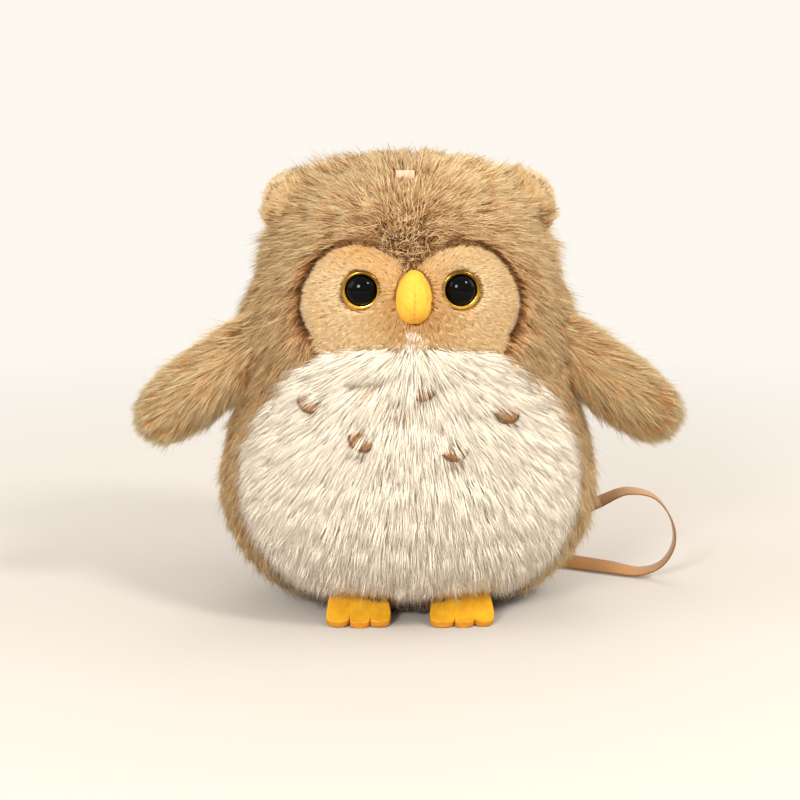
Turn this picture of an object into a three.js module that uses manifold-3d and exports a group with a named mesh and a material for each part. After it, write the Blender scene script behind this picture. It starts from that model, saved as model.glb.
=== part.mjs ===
// A plush owl that sits on its flat base. Millimetres, +Z up.
// The owl looks along -Y, so its own left side is +X.
// Every cover panel is drawn with its pile, so the outside is the outside of the fur.

import * as THREE from 'three';
import { mergeVertices } from 'three/addons/utils/BufferGeometryUtils.js';
import Module from 'manifold-3d';

const wasm = await Module();
wasm.setup();

// Head and body in one pear shape
const height = 218;
const halfWidth = 91;
const coverThickness = 9;
const seamGap = 0.3;
const baseSeamHeight = 12;
const headHeight = 87;
const crownSeamForward = 34;
const cutOverrun = 60;
const bodySegments = 32;
const halvings = 20;

// Each row: radius as a share of halfWidth, height as a share of height
const bodyProfileShares = [
  [0.505, 0], [0.604, 0.014], [0.692, 0.037], [0.769, 0.064], [0.852, 0.101], [0.923, 0.147],
  [0.978, 0.206], [1, 0.266], [0.984, 0.33], [0.945, 0.404], [0.89, 0.482], [0.857, 0.56],
  [0.835, 0.633], [0.813, 0.697], [0.78, 0.757], [0.736, 0.812], [0.678, 0.862], [0.61, 0.904],
  [0.53, 0.94], [0.43, 0.968], [0.3, 0.989], [0.15, 0.998], [0, 1],
];

// Each row: height as a share of height, depth as a share of the width at that height
const bodyDepthShares = [
  [0, 0.64], [0.046, 0.7], [0.078, 0.76], [0.128, 0.82], [0.183, 0.85], [0.55, 0.87], [0.78, 0.9], [1, 0.9],
];

// Side seam between front and back: forward reach as a share of crownSeamForward, height share
const sideSeamShares = [[0, -0.3], [0, 0.69], [0.36, 0.885], [1, 0.97], [1.15, 1.3]];

// Belly panel, front view
const bellySideInset = 12;
const bellyAboveNeck = 6;
const bellyOutlineShares = [
  [0, 1], [0.23, 0.98], [0.46, 0.955], [0.61, 0.9], [0.72, 0.824], [0.823, 0.744], [0.911, 0.66],
  [0.981, 0.552], [1, 0.44], [0.981, 0.328], [0.911, 0.216], [0.81, 0.112], [0.658, 0.028],
  [0.5, -0.06], [0, -0.06],
];

// Face panel, front view, sunk under the rim of the hood
const faceSideInset = 20.2;
const faceAboveEyes = 22.9;
const faceBelowNeck = 5;
const faceRecess = 3.5;
const faceOutlineShares = [
  [0, 0.8], [0.106, 0.903], [0.279, 0.973], [0.5, 1], [0.731, 0.938], [0.894, 0.788],
  [0.99, 0.602], [1, 0.407], [0.942, 0.265], [0.846, 0.159], [0.73, 0], [0, 0],
];

// Eyes: a black domed button with a brass rim, held by a washer behind the face cloth
const eyeSpacing = 44.6;
const eyeAboveNeck = 28.6;
const eyeTurn = THREE.MathUtils.degToRad(5);
const eyeSink = 2.6;
const eyeRimRadius = 9;
const eyeFlangeThickness = 1.2;
const eyeRimHeight = 2.1;
const eyeDomeRadius = 6.8;
const eyeDomeHeight = 5.4;
const eyeDomeRiseShares = [[1, 0.3], [0.93, 0.55], [0.75, 0.79], [0.45, 0.95], [0, 1]];
const eyeShankRadius = 2.4;
const eyeShankLength = 11;
const shankTipRadiusShare = 0.7;
const shankTaperShare = 0.1;
const rimOuterShare = 0.45;
const rimInnerShare = 0.8;
const washerRadius = 8;
const washerThickness = 1.6;
const washerFlatShare = 0.5;
const washerDishShare = 0.4;
const clampedCloth = 2;
const eyeSegments = 20;

// Beak: two felt halves over a little filling
const beakHalfWidth = 8.1;
const beakHeight = 24.4;
const beakDepth = 11.4;
const beakBelowEyes = 2.8;
const beakOffset = 1.2;
const beakSeat = 1.5;
const feltThickness = 1.6;
const beakSegments = 20;
const beakProfileShares = [
  [0, 0], [0.42, 0.04], [0.72, 0.13], [0.93, 0.27], [1, 0.43], [0.95, 0.6], [0.8, 0.76], [0.56, 0.9],
  [0.3, 0.975], [0, 1],
];

// Feet: one bent piece of thick felt each, with three toes
const footSpacing = 48.6;
const footStandOut = 25.6;
const footThickness = 3;
const footLift = 0.2;
const footRootStandOut = 7.6;
const footRootHeight = 18;
const footBendStandOut = 17.1;
const toeRadius = 5.4;
const toeOverlap = 1.2;
const footRootShare = 0.82;
const footSteps = 8;
const toeSteps = 7;

// Breast marks: small patches of short plush, and where they lie in the front view,
// to the side and below the top of the belly panel
const markThickness = 1.2;
const markHalfWidth = 5;
const markHalfHeight = 4;
const breastMarks = [
  { name: 'breast_mark_outer_right', side: -46.4, drop: 28.3 },
  { name: 'breast_mark_inner_right', side: -22.8, drop: 44 },
  { name: 'breast_mark_middle', side: 4.7, drop: 21 },
  { name: 'breast_mark_inner_left', side: 19.5, drop: 48.4 },
  { name: 'breast_mark_outer_left', side: 43.7, drop: 33.6 },
];
const markSteps = 14;

// Crown tab: a folded bit of woven tape in the crown seam
const tabWidth = 6;
const tabThickness = 1.6;
const tabStandOut = 2;
const tabDepth = 6;
const tabOffset = -2.7;
const tabSteps = 6;

// Wings: stuffed flaps sewn along the shoulder
const wingDroop = THREE.MathUtils.degToRad(38);
const wingLength = 89;
const wingHalfChord = 16;
const wingHalfThickness = 8;
const wingRootInset = 19.9;
const wingRootRise = 15.7;
const wingForward = 14;
const wingClothThickness = 3.5;
const wingHingeStandOff = 2.3;
const wingHingeBelowNeck = 7;
const wingHingeTilt = THREE.MathUtils.degToRad(8.4);
const wingForwardLimit = THREE.MathUtils.degToRad(60);
const wingBackLimit = THREE.MathUtils.degToRad(30);
const wingSegments = 20;
const wingProfileShares = [
  [0, 0], [0.55, 0], [0.78, 0.1], [0.93, 0.28], [1, 0.5], [1, 0.7], [0.88, 0.85], [0.64, 0.94],
  [0.33, 0.985], [0, 1],
];
const wingSwellShares = [[0, 0.35], [0.2, 0.4], [0.45, 0.8], [0.65, 1], [1, 1]];

// Ears: two layers of plush, rounded, sewn on beside the crown
const earRadius = 15.5;
const earHalfThickness = 3.6;
const earSink = 3.4;
const earBelowCrown = 23.5;
const earForward = 9;
const earLean = THREE.MathUtils.degToRad(42);
const earHingeInset = 1.5;
const earFoldLimit = THREE.MathUtils.degToRad(30);
const earSegments = 20;

// Ribbon loop, sewn into the centre back seam
const ribbonWidth = 8;
const ribbonThickness = 0.8;
const ribbonStep = 8;

// Each row: x, y, z of the middle of the ribbon, and how far its width leans over, in degrees
const ribbonRoute = [
  [0, 75.7, 42, 20], [3, 80, 41.5, 15], [18, 86, 39, 8], [42, 82, 33, 14], [66, 68, 27, 20],
  [84, 53, 27.5, 28], [98, 42, 36, 40], [112, 33, 44, 58], [125, 26, 42.5, 76],
  [133, 22, 32, 88], [134.5, 21, 20, 92], [129, 24, 8.5, 88], [119, 29, 3, 76],
  [104, 36, 3.3, 58], [84, 46, 3.7, 48], [62, 60, 4.2, 42],
  [40, 74, 6.5, 32], [20, 82, 14, 28], [7, 77.5, 20.5, 33], [1, 70.8, 25.8, 36.5], [0, 67.9, 27.9, 37],
];

// Colours
const brownPlush = new THREE.MeshStandardMaterial({ color: 0xb48d55, roughness: 0.95, metalness: 0 });
const creamPlush = new THREE.MeshStandardMaterial({ color: 0xebdbc0, roughness: 0.95, metalness: 0 });
const facePlush = new THREE.MeshStandardMaterial({ color: 0xd9b07a, roughness: 0.95, metalness: 0 });
const earPlush = new THREE.MeshStandardMaterial({ color: 0xdcb98c, roughness: 0.95, metalness: 0 });
const basePlush = new THREE.MeshStandardMaterial({ color: 0x8a6236, roughness: 0.95, metalness: 0 });
const markPlush = new THREE.MeshStandardMaterial({ color: 0xb07e49, roughness: 0.9, metalness: 0 });
const yellowFelt = new THREE.MeshStandardMaterial({ color: 0xf6c62f, roughness: 0.9, metalness: 0 });
const filling = new THREE.MeshStandardMaterial({ color: 0xf4f2ec, roughness: 1, metalness: 0 });
const blackPlastic = new THREE.MeshStandardMaterial({ color: 0x060606, roughness: 0.08, metalness: 0 });
const brassRim = new THREE.MeshStandardMaterial({ color: 0xc8963c, roughness: 0.25, metalness: 1 });
const washerPlastic = new THREE.MeshStandardMaterial({ color: 0xe8e8e4, roughness: 0.5, metalness: 0 });
const tanRibbon = new THREE.MeshStandardMaterial({ color: 0xb58348, roughness: 0.45, metalness: 0 });
const wovenTape = new THREE.MeshStandardMaterial({ color: 0xe8cda5, roughness: 0.7, metalness: 0 });

const owl = new THREE.Group();
const sides = [['left', 1], ['right', -1]];

// Between geometry and solids that can be joined and cut

function solidOf(geometry) {
  geometry.deleteAttribute('normal');
  geometry.deleteAttribute('uv');
  const merged = mergeVertices(geometry);
  const corners = merged.index.array;
  const triVerts = [];
  for (let i = 0; i < corners.length; i += 3) {
    const [a, b, c] = corners.slice(i, i + 3);
    if (a !== b && b !== c && c !== a) triVerts.push(a, b, c);
  }
  const vertProperties = new Float32Array(merged.getAttribute('position').array);
  return new wasm.Manifold(new wasm.Mesh({
    numProp: 3, vertProperties, triVerts: new Uint32Array(triVerts),
  }));
}

function geometryOf(solid) {
  const mesh = solid.getMesh();
  const geometry = new THREE.BufferGeometry();
  geometry.setAttribute('position', new THREE.BufferAttribute(mesh.vertProperties, mesh.numProp));
  geometry.setIndex(new THREE.BufferAttribute(mesh.triVerts, 1));
  geometry.computeVertexNormals();
  return geometry;
}

function addPiece(name, solid, material) {
  const mesh = new THREE.Mesh(geometryOf(solid), material);
  mesh.name = name;
  owl.add(mesh);
}

// Shapes that several pieces share

function shareAt(table, position) {
  const last = table.length - 1;
  if (position <= table[0][0]) return table[0][1];
  for (let i = 0; i < last; i++) {
    const [from, fromShare] = table[i];
    const [to, toShare] = table[i + 1];
    if (position <= to) return THREE.MathUtils.mapLinear(position, from, to, fromShare, toShare);
  }
  return table[last][1];
}

// Moves one corner of an outline away from its right-hand side, keeping both edges parallel
function mitred(before, corner, after, distance) {
  const edgeIn = corner.clone().sub(before).normalize();
  const edgeOut = after.clone().sub(corner).normalize();
  const mitre = new THREE.Vector2(edgeIn.y + edgeOut.y, -edgeIn.x - edgeOut.x);
  return corner.clone().add(mitre.multiplyScalar((2 * distance) / mitre.lengthSq()));
}

// A closed outline that runs anticlockwise, grown all round
function grown(points, distance) {
  const count = points.length;
  return points.map((point, i) => mitred(
    points[(i + count - 1) % count], point, points[(i + 1) % count], distance,
  ));
}

function pear(inset) {
  const points = [new THREE.Vector2(0, 0)];
  for (const [radiusShare, heightShare] of bodyProfileShares) {
    points.push(new THREE.Vector2(radiusShare * halfWidth, heightShare * height));
  }
  const last = points.length - 1;
  const profile = points.map((point, i) => {
    if (i === 0) return new THREE.Vector2(0, inset);
    if (i === last) return new THREE.Vector2(0, height - inset);
    return mitred(points[i - 1], point, points[i + 1], -inset);
  });
  const geometry = new THREE.LatheGeometry(profile, bodySegments);
  geometry.rotateX(Math.PI / 2);
  const position = geometry.getAttribute('position');
  for (let i = 0; i < position.count; i++) {
    position.setY(i, position.getY(i) * shareAt(bodyDepthShares, position.getZ(i) / height));
  }
  return solidOf(geometry);
}

function block(low, high) {
  const size = high.clone().sub(low);
  const geometry = new THREE.BoxGeometry(size.x, size.y, size.z);
  const middle = low.clone().add(high).multiplyScalar(0.5);
  geometry.translate(middle.x, middle.y, middle.z);
  return solidOf(geometry);
}

const reach = height + cutOverrun;

// Everything between two heights
function layer(low, high) {
  return block(new THREE.Vector3(-reach, -reach, low), new THREE.Vector3(reach, reach, high));
}

// Everything on one side of the plane of symmetry moved to x = middle
function sideOf(side, middle) {
  const near = middle + (side * seamGap) / 2;
  const far = side * reach;
  return block(
    new THREE.Vector3(Math.min(near, far), -reach, -reach),
    new THREE.Vector3(Math.max(near, far), reach, reach),
  );
}

// An outline in the front view, pushed forward from the middle of the body
function frontPrism(points) {
  const geometry = new THREE.ExtrudeGeometry(new THREE.Shape(points), { depth: reach, bevelEnabled: false });
  geometry.rotateX(Math.PI / 2);
  return solidOf(geometry);
}

// An outline in the side view (y across, z up), pushed out to both sides of x = middle
function sidePrism(points, halfLength, middle = 0) {
  const shape = new THREE.Shape(points);
  const geometry = new THREE.ExtrudeGeometry(shape, { depth: 2 * halfLength, bevelEnabled: false });
  geometry.translate(0, 0, middle - halfLength);
  geometry.applyMatrix4(new THREE.Matrix4().makeBasis(
    new THREE.Vector3(0, 1, 0), new THREE.Vector3(0, 0, 1), new THREE.Vector3(1, 0, 0),
  ));
  return solidOf(geometry);
}

// Both halves of an outline that is drawn from the top, down its left side (+X)
function mirroredOutline(table, outlineHalfWidth, bottom, top) {
  const leftSide = table.map(([across, up]) => new THREE.Vector2(
    across * outlineHalfWidth, THREE.MathUtils.lerp(bottom, top, up),
  ));
  const rightSide = leftSide.slice(1, -1).map((point) => new THREE.Vector2(-point.x, point.y)).reverse();
  return [...leftSide, ...rightSide].reverse();
}

function matrixAt(place, xAxis, yAxis, zAxis) {
  return new THREE.Matrix4().makeBasis(xAxis, yAxis, zAxis).setPosition(place);
}

// What one line turns through an angle
function turnAbout(place, axis, angle) {
  const turn = new THREE.Matrix4().makeTranslation(place.x, place.y, place.z);
  turn.multiply(new THREE.Matrix4().makeRotationAxis(axis, angle));
  return turn.multiply(new THREE.Matrix4().makeTranslation(-place.x, -place.y, -place.z));
}

// An eye's profile of rows [radius, distance along the axis], turned and put in its place
function turned(rows, matrix) {
  const profile = rows.map(([radius, along]) => new THREE.Vector2(radius, along));
  return solidOf(new THREE.LatheGeometry(profile, eyeSegments).applyMatrix4(matrix));
}

// Heights that several pieces share

const neckHeight = height - headHeight;
const bellyTop = neckHeight + bellyAboveNeck;
const eyeHeight = neckHeight + eyeAboveNeck;
const faceTop = eyeHeight + faceAboveEyes;
const faceBottom = neckHeight - faceBelowNeck;
const beakCentreHeight = eyeHeight - beakBelowEyes;
const wingHingeHeight = neckHeight - wingHingeBelowNeck;
const earHeight = height - earBelowCrown;

// Pear surfaces

const outside = pear(0);
const justOutside = pear(-seamGap);
const inside = pear(coverThickness);
const cover = outside.subtract(inside);

const radiusShares = bodyProfileShares.map(([radiusShare, heightShare]) => [heightShare, radiusShare]);

// How far the surface at an inset stands in front of the middle of the body
function frontAt(across, up, inset) {
  const surfaceWidth = shareAt(radiusShares, up / height) * halfWidth - inset;
  const surfaceDepth = surfaceWidth * shareAt(bodyDepthShares, up / height);
  return surfaceDepth * Math.sqrt(1 - (across / surfaceWidth) ** 2);
}

// How far the outside stands to the side of the middle of the body
function sideAt(forward, up) {
  const surfaceWidth = shareAt(radiusShares, up / height) * halfWidth;
  const surfaceDepth = surfaceWidth * shareAt(bodyDepthShares, up / height);
  return surfaceWidth * Math.sqrt(1 - (forward / surfaceDepth) ** 2);
}

// How high the outside is, above the neck
function topAt(across, forward) {
  let low = neckHeight;
  let high = height;
  for (let i = 0; i < halvings; i++) {
    const middle = (low + high) / 2;
    if (frontAt(across, middle, 0) > forward) low = middle;
    else high = middle;
  }
  return low;
}

function frontRegion(shift) {
  const seam = sideSeamShares.map(([forwardShare, heightShare]) => new THREE.Vector2(
    shift - forwardShare * crownSeamForward, heightShare * height,
  ));
  const bottom = seam[0].y;
  const top = seam[seam.length - 1].y;
  const outline = [...seam, new THREE.Vector2(-reach, top), new THREE.Vector2(-reach, bottom)];
  return sidePrism(outline, reach);
}

const halfGap = seamGap / 2;
const bellyHalfWidth = halfWidth - bellySideInset;
const faceHalfWidth = sideAt(0, eyeHeight) - faceSideInset;
const bellyOutline = mirroredOutline(bellyOutlineShares, bellyHalfWidth, baseSeamHeight, bellyTop);
const faceOutline = mirroredOutline(faceOutlineShares, faceHalfWidth, faceBottom, faceTop);
const bellyCut = frontPrism(grown(bellyOutline, halfGap));
const faceCut = frontPrism(grown(faceOutline, halfGap));

// Crown tab and the slot that holds it in the seam

const crownSeam = -crownSeamForward;
const tabHalfThickness = tabThickness / 2;
const tabTop = topAt(tabOffset, crownSeamForward) + tabStandOut;

function tabOutline(extra) {
  const halfThickness = tabHalfThickness + extra;
  const points = [new THREE.Vector2(crownSeam + halfThickness, tabTop - tabDepth - extra)];
  for (let i = 0; i <= tabSteps; i++) {
    const angle = (Math.PI * i) / tabSteps;
    points.push(new THREE.Vector2(
      crownSeam + halfThickness * Math.cos(angle),
      tabTop - tabHalfThickness + halfThickness * Math.sin(angle),
    ));
  }
  points.push(new THREE.Vector2(crownSeam - halfThickness, tabTop - tabDepth - extra));
  return points;
}

function tabSolid(extra) {
  return sidePrism(tabOutline(extra), tabWidth / 2 + extra, tabOffset);
}

const tabSlot = tabSolid(seamGap);
addPiece('crown_tab', tabSolid(0), wovenTape);

// Eyes

function eyeMatrix(side) {
  const out = new THREE.Vector3(side * Math.sin(eyeTurn), -Math.cos(eyeTurn), 0);
  const up = new THREE.Vector3(0, 0, 1);
  const across = new THREE.Vector3().crossVectors(out, up);
  const eyeSide = side * (eyeSpacing / 2);
  const place = new THREE.Vector3(eyeSide, eyeSink - frontAt(eyeSide, eyeHeight, faceRecess), eyeHeight);
  return matrixAt(place, across, out, up);
}

const eyeRimInner = eyeDomeRadius + seamGap;
const eyeRimBack = eyeFlangeThickness + seamGap;
const eyeRimTop = eyeRimBack + eyeRimHeight;
const eyeRimMiddle = (eyeRimInner + eyeRimRadius) / 2;
const flangeRadius = eyeRimRadius - seamGap;
const domeTop = eyeFlangeThickness + eyeDomeHeight;
const washerFront = -clampedCloth - seamGap;
const washerBack = washerFront - washerThickness;

const domeProfile = [
  [0, -eyeShankLength], [eyeShankRadius * shankTipRadiusShare, -eyeShankLength],
  [eyeShankRadius, eyeShankLength * (shankTaperShare - 1)], [eyeShankRadius, 0],
  [flangeRadius, 0], [flangeRadius, eyeFlangeThickness], [eyeDomeRadius, eyeFlangeThickness],
];
for (const [radiusShare, riseShare] of eyeDomeRiseShares) {
  const rise = THREE.MathUtils.lerp(eyeFlangeThickness, domeTop, riseShare);
  domeProfile.push([radiusShare * eyeDomeRadius, rise]);
}

const rimProfile = [
  [eyeRimInner, eyeRimBack], [eyeRimRadius, eyeRimBack],
  [eyeRimRadius, THREE.MathUtils.lerp(eyeRimBack, eyeRimTop, rimOuterShare)],
  [eyeRimMiddle, eyeRimTop], [eyeRimInner, THREE.MathUtils.lerp(eyeRimBack, eyeRimTop, rimInnerShare)],
  [eyeRimInner, eyeRimBack],
];
const washerHole = eyeShankRadius + seamGap;
const washerDish = washerDishShare * washerThickness;
const washerProfile = [
  [washerHole, washerBack - washerDish], [washerRadius * washerFlatShare, washerBack - washerDish],
  [washerRadius, washerBack + washerDish], [washerRadius, washerFront], [washerHole, washerFront],
  [washerHole, washerBack - washerDish],
];

function discAlong(radius, back, front, matrix) {
  return turned([[0, back], [radius, back], [radius, front], [0, front]], matrix);
}

let eyePockets = null;
let washerPockets = null;
for (const [sideName, side] of sides) {
  const matrix = eyeMatrix(side);
  addPiece(`eye_${sideName}_dome`, turned(domeProfile, matrix), blackPlastic);
  addPiece(`eye_${sideName}_rim`, turned(rimProfile, matrix), brassRim);
  addPiece(`eye_${sideName}_washer`, turned(washerProfile, matrix), washerPlastic);
  const pocketDepth = -eyeShankLength - seamGap;
  const seat = discAlong(eyeRimRadius + seamGap, -seamGap, cutOverrun, matrix);
  const shankHole = discAlong(washerHole, pocketDepth, seamGap, matrix);
  const clampBack = washerBack - washerDish - seamGap;
  const clampSeat = discAlong(washerRadius + seamGap, clampBack, -clampedCloth, matrix);
  const washerPocket = clampSeat.add(shankHole);
  const eyePocket = washerPocket.add(seat);
  eyePockets = eyePockets ? eyePockets.add(eyePocket) : eyePocket;
  washerPockets = washerPockets ? washerPockets.add(washerPocket) : washerPocket;
}

// Cover panels

const front = cover.intersect(frontRegion(-halfGap)).subtract(eyePockets);
const back = cover.subtract(frontRegion(halfGap));
const aboveBase = layer(baseSeamHeight + halfGap, reach);
const aboveNeck = layer(neckHeight + halfGap, reach);
const belowNeck = layer(-reach, neckHeight - halfGap);

addPiece('base_panel', cover.intersect(layer(-reach, baseSeamHeight - halfGap)), basePlush);
const bellyPanel = front.intersect(frontPrism(grown(bellyOutline, -halfGap))).intersect(aboveBase);
addPiece('belly_panel', bellyPanel, creamPlush);

const facePanel = pear(faceRecess).subtract(inside).intersect(frontRegion(-halfGap))
  .intersect(frontPrism(grown(faceOutline, -halfGap))).subtract(bellyCut).subtract(eyePockets);
addPiece('face_panel', facePanel, facePlush);

const brownFront = front.subtract(bellyCut).subtract(faceCut).subtract(tabSlot);
addPiece('hood_panel', brownFront.intersect(aboveNeck), brownPlush);
const brownSides = brownFront.intersect(belowNeck).intersect(aboveBase);
const brownBack = back.intersect(aboveBase).subtract(tabSlot);
for (const [sideName, side] of sides) {
  addPiece(`side_panel_${sideName}`, brownSides.intersect(sideOf(side, 0)), brownPlush);
  addPiece(`back_panel_${sideName}`, brownBack.intersect(sideOf(side, 0)), brownPlush);
}

const stuffing = pear(coverThickness + seamGap);
const pocketedStuffing = stuffing.subtract(washerPockets);
addPiece('body_filling', pocketedStuffing.intersect(belowNeck), filling);
addPiece('head_filling', pocketedStuffing.intersect(aboveNeck), filling);

// Beak

const beakBottom = beakCentreHeight - beakHeight / 2;
const beakMiddle = beakSeat - frontAt(beakOffset, beakCentreHeight, faceRecess);

function beakEgg(inset) {
  const eggHeight = beakHeight - 2 * inset;
  const rows = beakProfileShares.map(([r, up]) => [r * (beakHalfWidth - inset), up * eggHeight]);
  const geometry = new THREE.LatheGeometry(rows.map(([r, up]) => new THREE.Vector2(r, up)), beakSegments);
  geometry.rotateX(Math.PI / 2);
  geometry.scale(1, (beakDepth + beakSeat - inset) / (beakHalfWidth - inset), 1);
  geometry.translate(beakOffset, beakMiddle, beakBottom + inset);
  return solidOf(geometry);
}

const faceFrontSolid = pear(faceRecess - seamGap);
const beakCloth = beakEgg(0).subtract(beakEgg(feltThickness)).subtract(faceFrontSolid);
addPiece('beak_half_left', beakCloth.intersect(sideOf(1, beakOffset)), yellowFelt);
addPiece('beak_half_right', beakCloth.intersect(sideOf(-1, beakOffset)), yellowFelt);
addPiece('beak_filling', beakEgg(feltThickness + seamGap).subtract(faceFrontSolid), filling);

// Feet

const baseFront = frontAt(0, 0, 0);
const footReach = baseFront + footStandOut;
const footRootReach = baseFront + footRootStandOut;

function footSole() {
  const half = footThickness / 2;
  const curve = new THREE.QuadraticBezierCurve(
    new THREE.Vector2(-footReach, half + footLift),
    new THREE.Vector2(-baseFront - footBendStandOut, half + footLift),
    new THREE.Vector2(-footRootReach, footRootHeight),
  );
  const upper = [];
  const lower = [];
  for (let i = 0; i <= footSteps; i++) {
    const share = i / footSteps;
    const point = curve.getPoint(share);
    const along = curve.getTangent(share);
    const normal = new THREE.Vector2(-along.y, along.x).multiplyScalar(half);
    upper.push(point.clone().add(normal));
    lower.push(point.clone().sub(normal));
  }
  return sidePrism([...lower, ...upper.reverse()], reach);
}

const toeSpacing = 2 * toeRadius - toeOverlap;

function footPlan(middle) {
  const toeRow = -footReach + toeRadius;
  const notch = Math.acos(toeSpacing / 2 / toeRadius);
  const points = [];
  for (const toe of [-1, 0, 1]) {
    const from = toe < 0 ? Math.PI : Math.PI + notch;
    const to = toe > 0 ? 2 * Math.PI : 2 * Math.PI - notch;
    for (let i = 0; i <= toeSteps; i++) {
      const angle = THREE.MathUtils.lerp(from, to, i / toeSteps);
      points.push(new THREE.Vector2(
        middle + toe * toeSpacing + toeRadius * Math.cos(angle), toeRow + toeRadius * Math.sin(angle),
      ));
    }
  }
  const rootHalfWidth = (toeSpacing + toeRadius) * footRootShare;
  const rootRow = -footRootReach + footThickness;
  points.push(new THREE.Vector2(middle + rootHalfWidth, rootRow));
  points.push(new THREE.Vector2(middle - rootHalfWidth, rootRow));
  const geometry = new THREE.ExtrudeGeometry(new THREE.Shape(points), { depth: reach, bevelEnabled: false });
  return solidOf(geometry);
}

for (const [sideName, side] of sides) {
  const foot = footSole().intersect(footPlan(side * (footSpacing / 2))).subtract(justOutside);
  addPiece(`foot_${sideName}`, foot, yellowFelt);
}

// Breast marks

const markSkin = pear(-seamGap - markThickness).subtract(justOutside);
for (const mark of breastMarks) {
  const points = [];
  for (let i = 0; i < markSteps; i++) {
    const angle = (2 * Math.PI * i) / markSteps;
    points.push(new THREE.Vector2(
      mark.side + markHalfWidth * Math.cos(angle),
      bellyTop - mark.drop + markHalfHeight * Math.sin(angle),
    ));
  }
  addPiece(mark.name, markSkin.intersect(frontPrism(points)), markPlush);
}

// Wings

const wingHingeSide = sideAt(wingForward, wingHingeHeight) + wingHingeStandOff;
const wingRootSide = wingHingeSide - wingRootInset;

function wingFlap(side, inset) {
  const span = wingLength - inset;
  const rows = wingProfileShares.map(([chordShare, spanShare]) => new THREE.Vector2(
    chordShare * (wingHalfChord - inset), spanShare * span,
  ));
  const geometry = new THREE.LatheGeometry(rows, wingSegments);
  const swell = (wingHalfThickness - inset) / (wingHalfChord - inset);
  const position = geometry.getAttribute('position');
  for (let i = 0; i < position.count; i++) {
    const along = position.getY(i) / span;
    position.setZ(i, position.getZ(i) * swell * shareAt(wingSwellShares, along));
  }
  const chord = new THREE.Vector3(side * Math.sin(wingDroop), 0, Math.cos(wingDroop));
  const out = new THREE.Vector3(side * Math.cos(wingDroop), 0, -Math.sin(wingDroop));
  const through = new THREE.Vector3(0, side, 0);
  const root = new THREE.Vector3(side * wingRootSide, -wingForward, wingHingeHeight + wingRootRise);
  geometry.applyMatrix4(matrixAt(root, chord, out, through));
  return solidOf(geometry);
}

// The body as a limb meets it when the limb is turned through each of its limits
function bodyAtLimits(place, axis, angles) {
  let swept = justOutside;
  for (const angle of angles) {
    const turn = turnAbout(place, axis, angle);
    swept = swept.add(solidOf(geometryOf(justOutside).applyMatrix4(turn)));
  }
  return swept;
}

// Everything in front of, or behind, the seam at y = middle
function inFrontOf(middle) {
  return block(new THREE.Vector3(-reach, -reach, -reach), new THREE.Vector3(reach, middle - halfGap, reach));
}

function behind(middle) {
  return block(new THREE.Vector3(-reach, middle + halfGap, -reach), new THREE.Vector3(reach, reach, reach));
}

for (const [sideName, side] of sides) {
  const place = new THREE.Vector3(side * wingHingeSide, -wingForward, wingHingeHeight);
  const axis = new THREE.Vector3(-Math.sin(wingHingeTilt), 0, side * Math.cos(wingHingeTilt));
  const bodySweep = bodyAtLimits(place, axis, [wingForwardLimit, wingForwardLimit / 2, -wingBackLimit]);
  const cloth = wingFlap(side, 0).subtract(bodySweep).subtract(wingFlap(side, wingClothThickness));
  addPiece(`wing_${sideName}_front`, cloth.intersect(inFrontOf(-wingForward)), brownPlush);
  addPiece(`wing_${sideName}_back`, cloth.intersect(behind(-wingForward)), brownPlush);
  const fill = wingFlap(side, wingClothThickness + seamGap).subtract(bodySweep);
  addPiece(`wing_${sideName}_filling`, fill, filling);
}

// Ears

const earSide = sideAt(earForward, earHeight) - earSink;

for (const [sideName, side] of sides) {
  const middle = new THREE.Vector3(side * earSide, -earForward, earHeight);
  const geometry = new THREE.SphereGeometry(1, earSegments, earSegments / 2);
  geometry.scale(earRadius, earHalfThickness, earRadius);
  geometry.translate(middle.x, middle.y, middle.z);
  const outward = new THREE.Vector3(side * Math.cos(earLean), 0, Math.sin(earLean));
  const axis = new THREE.Vector3(-side * Math.sin(earLean), 0, Math.cos(earLean));
  const place = middle.clone().add(outward.multiplyScalar(earHingeInset));
  const flap = solidOf(geometry).subtract(bodyAtLimits(place, axis, [earFoldLimit, -earFoldLimit]));
  addPiece(`ear_${sideName}_inner`, flap.intersect(inFrontOf(middle.y)), earPlush);
  addPiece(`ear_${sideName}_outer`, flap.intersect(behind(middle.y)), brownPlush);
}

// Ribbon loop

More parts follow.
